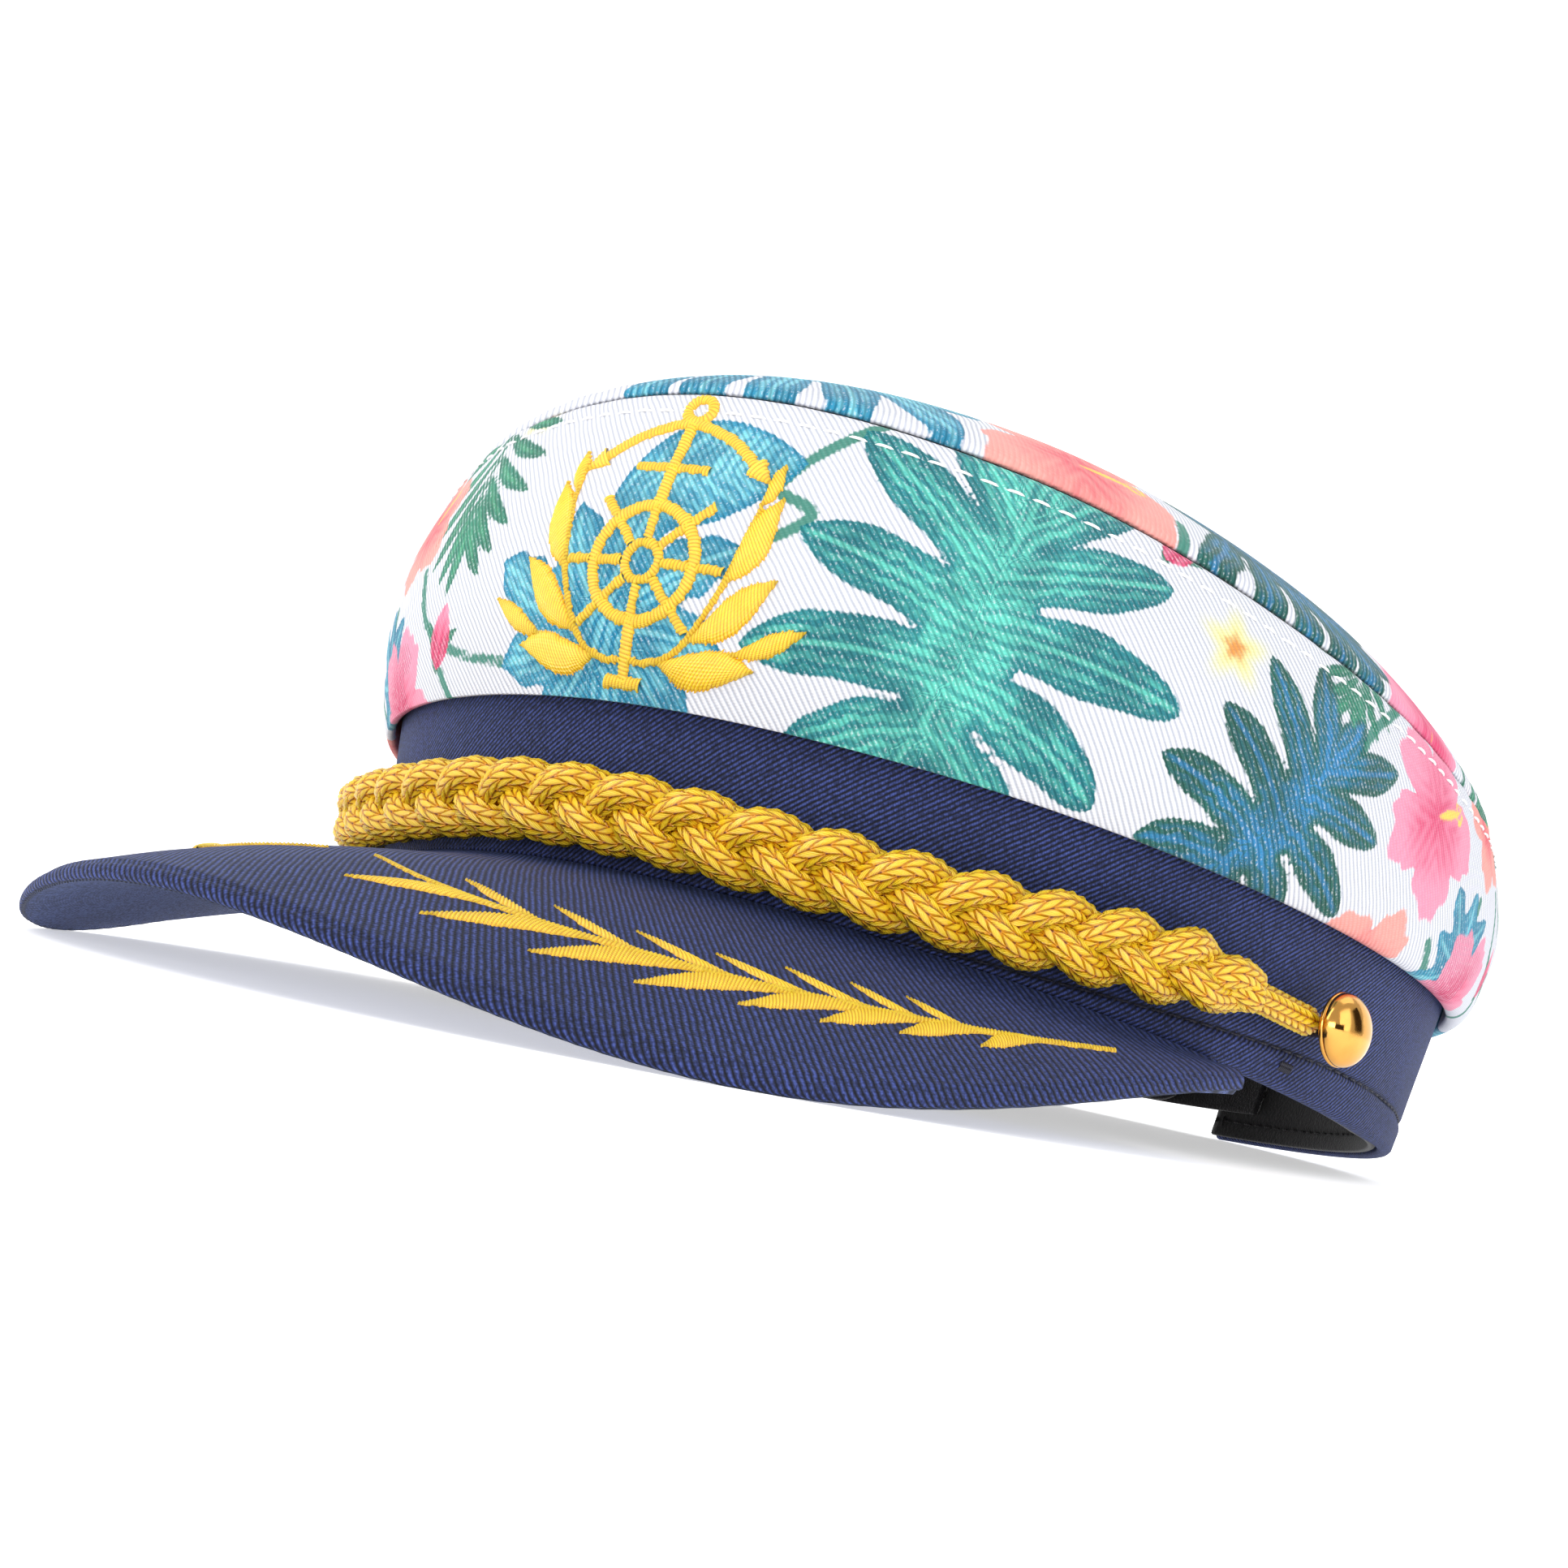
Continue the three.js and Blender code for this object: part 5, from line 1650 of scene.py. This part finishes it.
def build_plait():
    """Three knitted cords plaited between the buttons, and the single cord at each end."""
    yarn = knitted_yarn()
    for strand in range(3):
        cloth = Cloth()
        line, outward = plait_line(strand, 2000)
        knitted_cord(cloth, line, outward, CORD_RADIUS, flat=0.84, sides=48, wales=6)
        nodes = ["braid"] if strand == 0 else []
        place_piece(cloth, f"plait_strand_{strand + 1}", [yarn], nodes)
    cloth = Cloth()
    for side in (-1, 1):
        share = np.linspace(0, 1, 60)
        stop = BUTTON_ANGLE - math.degrees((SHANK_RADIUS + CLEARANCE) / HALF_LENGTH)
        degrees = side * (PLAIT_END_ANGLE - 2 + (stop - PLAIT_END_ANGLE + 2) * share)
        start_out = BAND_FLARE * PLAIT_HEIGHT + CLEARANCE + PLAIT_DEPTH / 2
        stop_out = BAND_FLARE * BUTTON_HEIGHT + CLEARANCE + 0.1 + END_CORD_RADIUS
        out = start_out + (stop_out - start_out) * np.minimum(1, share * 1.4)
        z = plait_height(PLAIT_END_ANGLE) + (BUTTON_HEIGHT - plait_height(PLAIT_END_ANGLE)) * share
        line = rim_point(degrees, out, z)
        knitted_cord(cloth, line, rim_outward(degrees), END_CORD_RADIUS, flat=0.95, sides=40, wales=5)
    place_piece(cloth, "plait_ends", [yarn])


def build_buttons():
    """Polished domes with a rolled rim, each on its shank."""
    gold = polished_gold()
    shank = 2 * END_CORD_RADIUS + 2 * CLEARANCE
    arc = np.linspace(0, np.pi / 2, 18)
    rim = np.linspace(-np.pi / 2, np.pi / 2, 9)
    radii = np.concatenate([
        [0, SHANK_RADIUS, SHANK_RADIUS, BUTTON_RADIUS - 1.0, BUTTON_RADIUS - 0.5],
        BUTTON_RADIUS - 0.4 + 0.4 * np.cos(rim), BUTTON_RADIUS * np.cos(arc) * 0.985,
    ])
    heights = np.concatenate([
        [0, 0, shank + 0.25, shank + 0.25, shank],
        shank + 0.4 + 0.4 * np.sin(rim), shank + BUTTON_RIM + (BUTTON_DOME - BUTTON_RIM) * np.sin(arc),
    ])
    angle = np.linspace(0, 2 * np.pi, 72, endpoint=False)
    for name, side in (("button_left", 1), ("button_right", -1)):
        seat = rim_point(side * BUTTON_ANGLE, BAND_FLARE * BUTTON_HEIGHT, BUTTON_HEIGHT)
        axis = unit(rim_point(side * BUTTON_ANGLE, BAND_FLARE * BUTTON_HEIGHT + 1, BUTTON_HEIGHT) - seat)
        seat = seat + axis * (CLEARANCE + BAND_FLARE * SHANK_RADIUS)
        across = unit(np.cross([0, 0, 1.0], axis))
        upward = np.cross(axis, across)
        ring = np.cos(angle)[:, None] * across + np.sin(angle)[:, None] * upward
        points = seat + ring[:, None] * radii[None, :, None] + axis * heights[None, :, None]
        cloth = Cloth()
        cloth.patch(points, grid_faces(len(angle), len(radii), ring=True))
        place_piece(cloth, name + "_dome", [gold], [name], weld=0.002)


# Embroidery
class WallChart:
    """Points of the crown's front, from millimetres across and up."""

    def __init__(self):
        printed, _, around, up, _ = crown_face()
        near = np.flatnonzero(np.abs(around[:, 0]) < 60)
        self.face = printed[near]
        self.around = around[near, 0]
        self.up = up[near].mean(0)

    def point(self, across, up):
        row = np.interp(BADGE_MIDDLE + across, self.around, np.arange(len(self.around)))
        column = np.interp(up, self.up, np.arange(len(self.up)))
        r, c = np.floor(row).astype(int), np.floor(column).astype(int)
        r = np.clip(r, 0, len(self.around) - 2)
        c = np.clip(c, 0, len(self.up) - 2)
        a, b = (row - r)[..., None], (column - c)[..., None]
        low = self.face[r, c] * (1 - a) + self.face[r + 1, c] * a
        high = self.face[r, c + 1] * (1 - a) + self.face[r + 1, c + 1] * a
        return low * (1 - b) + high * b

    def __call__(self, places):
        across, up = places[..., 0], places[..., 1]
        by_across = self.point(across + 1.0, up) - self.point(across - 1.0, up)
        by_up = self.point(across, up + 1.0) - self.point(across, up - 1.0)
        return self.point(across, up), unit(np.cross(by_across, by_up))


def on_visor(places):
    """Points of the visor's top and their upward normals, from places seen from above."""
    x, y = places[..., 0], places[..., 1]
    along, out, step = x / VISOR_HALF_WIDTH, np.full(x.shape, 0.6), 1e-3
    for _ in range(10):
        here = visor_point(along, out, VISOR_THICKNESS)
        by_along = (visor_point(along + step, out, VISOR_THICKNESS) - here) / step
        by_out = (visor_point(along, out + step, VISOR_THICKNESS) - here) / step
        miss_x, miss_y = x - here[..., 0], y - here[..., 1]
        area = by_along[..., 0] * by_out[..., 1] - by_along[..., 1] * by_out[..., 0]
        along = along + (miss_x * by_out[..., 1] - miss_y * by_out[..., 0]) / area
        out = np.clip(out + (by_along[..., 0] * miss_y - by_along[..., 1] * miss_x) / area, 0.02, 0.98)
    normal = unit(np.cross(by_along, by_out))
    return visor_point(along, out, VISOR_THICKNESS), normal * np.sign(normal[..., 2:])


def satin(cloth, surface, line, widths, slant=0.0, rise=1.0, order=0):
    """Satin stitches across a line on a surface, each thread a small ridge with a loose end."""
    pitch = size_of("satin_pitch")
    length = line_length(np.asarray(line, float))
    threads = max(3, int(length / pitch))
    rows = threads * THREAD_ROWS
    middle = even_line(np.asarray(line, float), rows)
    width = np.interp(np.linspace(0, 1, rows), np.linspace(0, 1, len(widths)), widths)
    ahead = unit(np.gradient(middle, axis=0))
    square = np.stack([-ahead[:, 1], ahead[:, 0]], 1)
    tilt = math.radians(slant)
    across = square * math.cos(tilt) + ahead * math.sin(tilt)
    thread = np.arange(rows) // THREAD_ROWS
    loose = np.random.default_rng(1000 + order).uniform(-0.22, 0.14, (threads, 2))[thread]
    share = np.linspace(-1, 1, SATIN_COLUMNS + 1)
    reach = width[:, None] * share[None]
    reach = reach + np.where(share < 0, -loose[:, [0]], loose[:, [1]]) * np.abs(share) ** 3
    places = middle[:, None] + across[:, None] * reach[..., None]
    point, normal = surface(places)
    dome = np.sqrt(np.clip(1 - share**2, 0, 1))
    profile = np.sin(np.pi * (np.arange(rows) % THREAD_ROWS + 0.5) / THREAD_ROWS)
    high = rise * np.minimum(1.0, 0.5 + 0.25 * width) * size_of("satin_rise") * 0.8
    lift = high[:, None] * dome[None] + 0.3 * (profile[:, None] - 0.6) * (1.2 - 0.5 * dome[None]) - 0.08
    grid = point + normal * lift[..., None]
    # The crest and fibre numbers drive the thread material's painted shade between the threads and along
    # the strip edges.
    crest = np.broadcast_to(profile[:, None], lift.shape)
    fibre = np.broadcast_to(share[None] * 2, lift.shape)
    cloth.patch(grid, grid_faces(rows, SATIN_COLUMNS + 1), crest=crest, fibre=fibre)


def leaf_widths(width, stalk=0.45):
    """Half the width of a leaf from its stalk to its point."""
    share = np.linspace(0, 1, 30)
    swell = np.sin(np.pi * np.clip((share - 0.1) / 0.9, 0, 1) ** 0.95) ** 1.15
    return np.where(share < 0.5, stalk, 0.2) + (width - np.where(share < 0.5, stalk, 0.2)) * swell


def badge_lines():
    """The badge's straight and round strips: line, width and slant."""
    circle = np.linspace(0, 2 * np.pi, 90)

    def round_of(radius, up):
        return np.stack([radius * np.sin(circle), up + radius * np.cos(circle)], 1)

    strips = []
    for k in range(SPOKE_COUNT):
        angle = 2 * math.pi * k / SPOKE_COUNT
        aim = np.array([math.sin(angle), math.cos(angle)])
        centre = np.array([0, WHEEL_PLACE])
        strips.append((centre + aim * SPOKE_INSIDE, centre + aim * WHEEL_RADIUS, LINE_WIDTH))
        if k % (SPOKE_COUNT // 2):
            strips.append((centre + aim * (WHEEL_RADIUS + 0.6), centre + aim * HANDLE_REACH, LINE_WIDTH))
    strips.append(((0, WHEEL_PLACE + WHEEL_RADIUS), (0, ARM_TOP), LINE_WIDTH * 1.3))
    strips.append(((0, FOOT_PLACE), (0, WHEEL_PLACE - WHEEL_RADIUS), LINE_WIDTH * 1.3))
    strips.append(((-STOCK_REACH, STOCK_PLACE), (STOCK_REACH, STOCK_PLACE), LINE_WIDTH * 0.92))
    strips.append(((-FOOT_REACH, FOOT_PLACE), (FOOT_REACH, FOOT_PLACE), LINE_WIDTH * 1.3))
    lines = [(np.array([start, end]), width) for start, end, width in strips]
    lines.append((round_of(HUB_RADIUS, WHEEL_PLACE), LINE_WIDTH))
    lines.append((round_of(WHEEL_RADIUS, WHEEL_PLACE), WHEEL_WIDTH))
    lines.append((round_of(RING_RADIUS, RING_PLACE), LINE_WIDTH * 1.15))
    arms = smooth_line([(-ARM_END[0], ARM_END[1]), (-7, 36.4), (0, ARM_TOP), (7, 36.4), ARM_END], 60)
    lines.append((arms, LINE_WIDTH * 1.15))
    return lines


def build_badge():
    """The anchor, ship's wheel and laurel worked in satin stitch on the front of the crown."""
    cloth = Cloth()
    lines = [(line, [width, width], 12.0) for line, width in badge_lines()]
    for side in (-1, 1):
        for leaf in BADGE_LEAVES:
            base, tip = np.array(leaf.base), np.array(leaf.tip)
            bow = (base + tip) / 2 + 0.035 * np.array([(tip - base)[1], -(tip - base)[0]])
            line = smooth_line([base, bow, tip], 30) * [side, 1]
            lines.append((line, leaf_widths(leaf.width), 34.0 * side))
        stem = smooth_line([(0.6, 5.2), (4, 5.3), (8.3, 7.9), (12.2, 15.8), (14.7, 27.3)], 40) * [side, 1]
        lines.append((stem, [0.6, 0.5, 0.42], 20.0 * side))
        tip = np.array(ARM_END) * [side, 1]
        aim = unit(np.array([side * 0.86, -0.62]))
        arrow = np.array([tip - aim * ARROW_LENGTH * 0.5, tip + aim * ARROW_LENGTH * 0.6])
        lines.append((arrow, [1.9, 0.15], 0.0))
    on_wall = WallChart()
    for order, (line, widths, slant) in enumerate(lines):
        satin(cloth, on_wall, line, widths, slant, order=order)
    place_piece(cloth, "badge_satin", [shared("Gold satin", satin_thread)])


def visor_plan(along, out):
    """Where a place of the visor's top lies seen from above."""
    return visor_point(along, out)[..., :2]


def build_laurels():
    """A laurel branch on each half of the visor, its leaves pointing to the front."""
    shares = smooth_line(LAUREL_STEM, 120)
    stem = visor_plan(shares[:, 0], shares[:, 1])
    for name, side in (("laurel_left_satin", 1), ("laurel_right_satin", -1)):
        cloth = Cloth()
        for k, leaf in enumerate(LAUREL_LEAVES):
            at = np.abs(shares[:, 0] - leaf.along - leaf.reach).argmin()
            base, tip = stem[at], visor_plan(leaf.along, leaf.out)
            hand = 1 if leaf.out > 0.59 and leaf.width > 1.5 else -1
            bow = (base + tip) / 2 + 0.06 * hand * np.array([(tip - base)[1], -(tip - base)[0]])
            line = smooth_line([base, bow, tip], 30) * [side, 1]
            slant = 38.0 * side * hand
            satin(cloth, on_visor, line, leaf_widths(leaf.width, 0.35), slant, rise=0.62, order=100 + k)
        widths = [0.6, 0.75, 0.7, 0.6, 0.9, 0.6, 0.2]
        satin(cloth, on_visor, stem * [side, 1], widths, 25.0 * side, rise=0.7, order=99)
        place_piece(cloth, name, [shared("Gold satin", satin_thread)])


# Stage
def studio_light(lamp, power):
    """A soft rectangular light that faces the hat."""
    light = bpy.data.lights.new(lamp.name, "AREA")
    light.shape = "RECTANGLE"
    light.size, light.size_y = lamp.size
    light.energy = power
    light.color = lamp.colour
    made = bpy.data.objects.new(lamp.name, light)
    made.location = lamp.place
    facing = (Vector((0, 0, 0.04)) - Vector(lamp.place)).to_track_quat("-Z", "Y")
    made.rotation_euler = facing.to_euler()
    bpy.context.scene.collection.objects.link(made)


def build_floor():
    """A pale floor that curves up into the backdrop."""
    angle = np.linspace(0, np.pi / 2, 14)[1:]
    flat = np.linspace(-FLOOR_REACH, FLOOR_BEND, 8)
    depth = np.concatenate([flat, FLOOR_BEND + FLOOR_BEND * np.sin(angle), [2 * FLOOR_BEND]])
    height = np.concatenate([0 * flat, FLOOR_BEND * (1 - np.cos(angle)), [BACKDROP_HEIGHT]])
    across = np.linspace(-FLOOR_REACH, FLOOR_REACH, 9)
    turn = math.radians(FLOOR_TURN)
    points = np.array([(x, y, z) for y, z in zip(depth, height) for x in across])
    spun = points @ np.array(Matrix.Rotation(turn, 3, "Z"))
    mesh = bpy.data.meshes.new("stage_floor")
    mesh.from_pydata(spun.tolist(), [], grid_faces(len(depth), len(across)).tolist())
    mesh.materials.append(stage_paper())
    mesh.shade_smooth()
    floor = bpy.data.objects.new("stage_floor", mesh)
    bpy.context.scene.collection.objects.link(floor)


def dark_card(name, place, size):
    """A dark card out of the picture, which the polished metal mirrors."""
    mesh = bpy.data.meshes.new(name)
    half_x, half_y = size[0] / 2, size[1] / 2
    corners = [(-half_x, -half_y, 0), (half_x, -half_y, 0), (half_x, half_y, 0), (-half_x, half_y, 0)]
    mesh.from_pydata(corners, [], [(0, 1, 2, 3)])
    graph = Graph(name, Roughness=0.9, Specular_IOR_Level=0.1)
    tone = graph.mix(graph.noise(4.0, 1.0), linear(34, 30, 30), linear(46, 40, 38))
    graph.paint(tone)
    mesh.materials.append(graph.material)
    card = bpy.data.objects.new(name, mesh)
    card.location = place
    facing = (Vector((0.08, -0.04, 0.03)) - Vector(place)).to_track_quat("Z", "Y")
    card.rotation_euler = facing.to_euler()
    card.visible_camera = False
    bpy.context.scene.collection.objects.link(card)


def build_stage():
    """The floor, the cards, the lights, the sky and the camera."""
    stage = bpy.context.scene.hat_stage
    build_floor()
    dark_card("low_card", (0.62, -0.5, 0.1), (0.5, 0.16))
    dark_card("side_card", (0.75, 0.25, 0.3), (0.3, 0.5))
    for lamp in LAMPS:
        studio_light(lamp, getattr(stage, lamp.power))
    world = bpy.data.worlds.new("studio_sky")
    world.use_nodes = True
    background = world.node_tree.nodes["Background"]
    background.inputs["Color"].default_value = (0.97, 0.98, 1.0, 1.0)
    background.inputs["Strength"].default_value = stage.sky
    bpy.context.scene.world = world
    camera = bpy.data.cameras.new("camera")
    camera.lens = stage.lens
    camera.sensor_width = 36
    camera.clip_start = 0.01
    viewer = bpy.data.objects.new("camera", camera)
    eye, aim = Vector(stage.eye), Vector(stage.aim)
    facing = (aim - eye).to_track_quat("-Z", "Y").to_matrix().to_4x4()
    viewer.matrix_world = Matrix.Translation(eye) @ facing @ Matrix.Rotation(stage.roll, 4, "Z")
    bpy.context.scene.collection.objects.link(viewer)
    bpy.context.scene.camera = viewer
    bpy.context.scene.view_settings.view_transform = "Standard"


# Operators: one for each piece or group of like pieces, and one for the stage.
class HAT_OT_crown(bpy.types.Operator):
    """Builds the printed crown wall and the top panel"""

    bl_idname = "hat.crown"
    bl_label = "Crown"

    def execute(self, context):
        build_crown_wall()
        build_crown_panel()
        return {"FINISHED"}


class HAT_OT_seam(bpy.types.Operator):
    """Sews the white stitches beside the top seam"""

    bl_idname = "hat.seam"
    bl_label = "Seam stitches"

    def execute(self, context):
        build_seam_stitches()
        return {"FINISHED"}


class HAT_OT_band(bpy.types.Operator):
    """Builds the navy band and its stitches"""

    bl_idname = "hat.band"
    bl_label = "Band"

    def execute(self, context):
        build_band()
        build_band_stitches()
        return {"FINISHED"}


class HAT_OT_visor(bpy.types.Operator):
    """Builds the visor"""

    bl_idname = "hat.visor"
    bl_label = "Visor"

    def execute(self, context):
        build_visor()
        return {"FINISHED"}


class HAT_OT_lining(bpy.types.Operator):
    """Builds the sweatband and its stitches"""

    bl_idname = "hat.lining"
    bl_label = "Sweatband"

    def execute(self, context):
        build_sweatband()
        build_lining_stitches()
        return {"FINISHED"}


class HAT_OT_straps(bpy.types.Operator):
    """Builds the two halves of the back strap"""

    bl_idname = "hat.straps"
    bl_label = "Back strap"

    def execute(self, context):
        build_straps()
        return {"FINISHED"}


class HAT_OT_plait(bpy.types.Operator):
    """Plaits the gold cords"""

    bl_idname = "hat.plait"
    bl_label = "Plait"

    def execute(self, context):
        build_plait()
        return {"FINISHED"}


class HAT_OT_buttons(bpy.types.Operator):
    """Builds the two gold buttons"""

    bl_idname = "hat.buttons"
    bl_label = "Buttons"

    def execute(self, context):
        build_buttons()
        return {"FINISHED"}


class HAT_OT_embroidery(bpy.types.Operator):
    """Works the badge on the crown and the laurels on the visor"""

    bl_idname = "hat.embroidery"
    bl_label = "Embroidery"

    def execute(self, context):
        build_badge()
        build_laurels()
        return {"FINISHED"}


class HAT_OT_stage(bpy.types.Operator):
    """Sets the floor, the lights and the camera"""

    bl_idname = "hat.stage"
    bl_label = "Stage"

    def execute(self, context):
        build_stage()
        return {"FINISHED"}


OPERATORS = (
    HAT_OT_crown,
    HAT_OT_seam,
    HAT_OT_band,
    HAT_OT_visor,
    HAT_OT_lining,
    HAT_OT_straps,
    HAT_OT_plait,
    HAT_OT_buttons,
    HAT_OT_embroidery,
    HAT_OT_stage,
)


class HAT_PT_panel(bpy.types.Panel):
    """Lists the hat's settings and the steps that build it"""

    bl_idname = "HAT_PT_panel"
    bl_label = "Captain hat"
    bl_space_type = "VIEW_3D"
    bl_region_type = "UI"
    bl_category = "Captain hat"

    def draw(self, context):
        for group in (context.scene.hat_sizes, context.scene.hat_colours, context.scene.hat_stage):
            box = self.layout.box()
            for key in group.__annotations__:
                box.prop(group, key)
        for operator in OPERATORS:
            self.layout.operator(operator.bl_idname)


GROUPS = {"hat_sizes": HatSizes, "hat_colours": HatColours, "hat_stage": HatStage}
CLASSES = (*GROUPS.values(), *OPERATORS, HAT_PT_panel)


def register():
    for made in CLASSES:
        bpy.utils.register_class(made)
    for name, group in GROUPS.items():
        setattr(bpy.types.Scene, name, bpy.props.PointerProperty(type=group))


def unregister():
    for name in GROUPS:
        delattr(bpy.types.Scene, name)
    for made in reversed(CLASSES):
        bpy.utils.unregister_class(made)


def main():
    register()
    for operator in OPERATORS:
        family, name = operator.bl_idname.split(".")
        getattr(getattr(bpy.ops, family), name)()


if __name__ == "__main__":
    main()
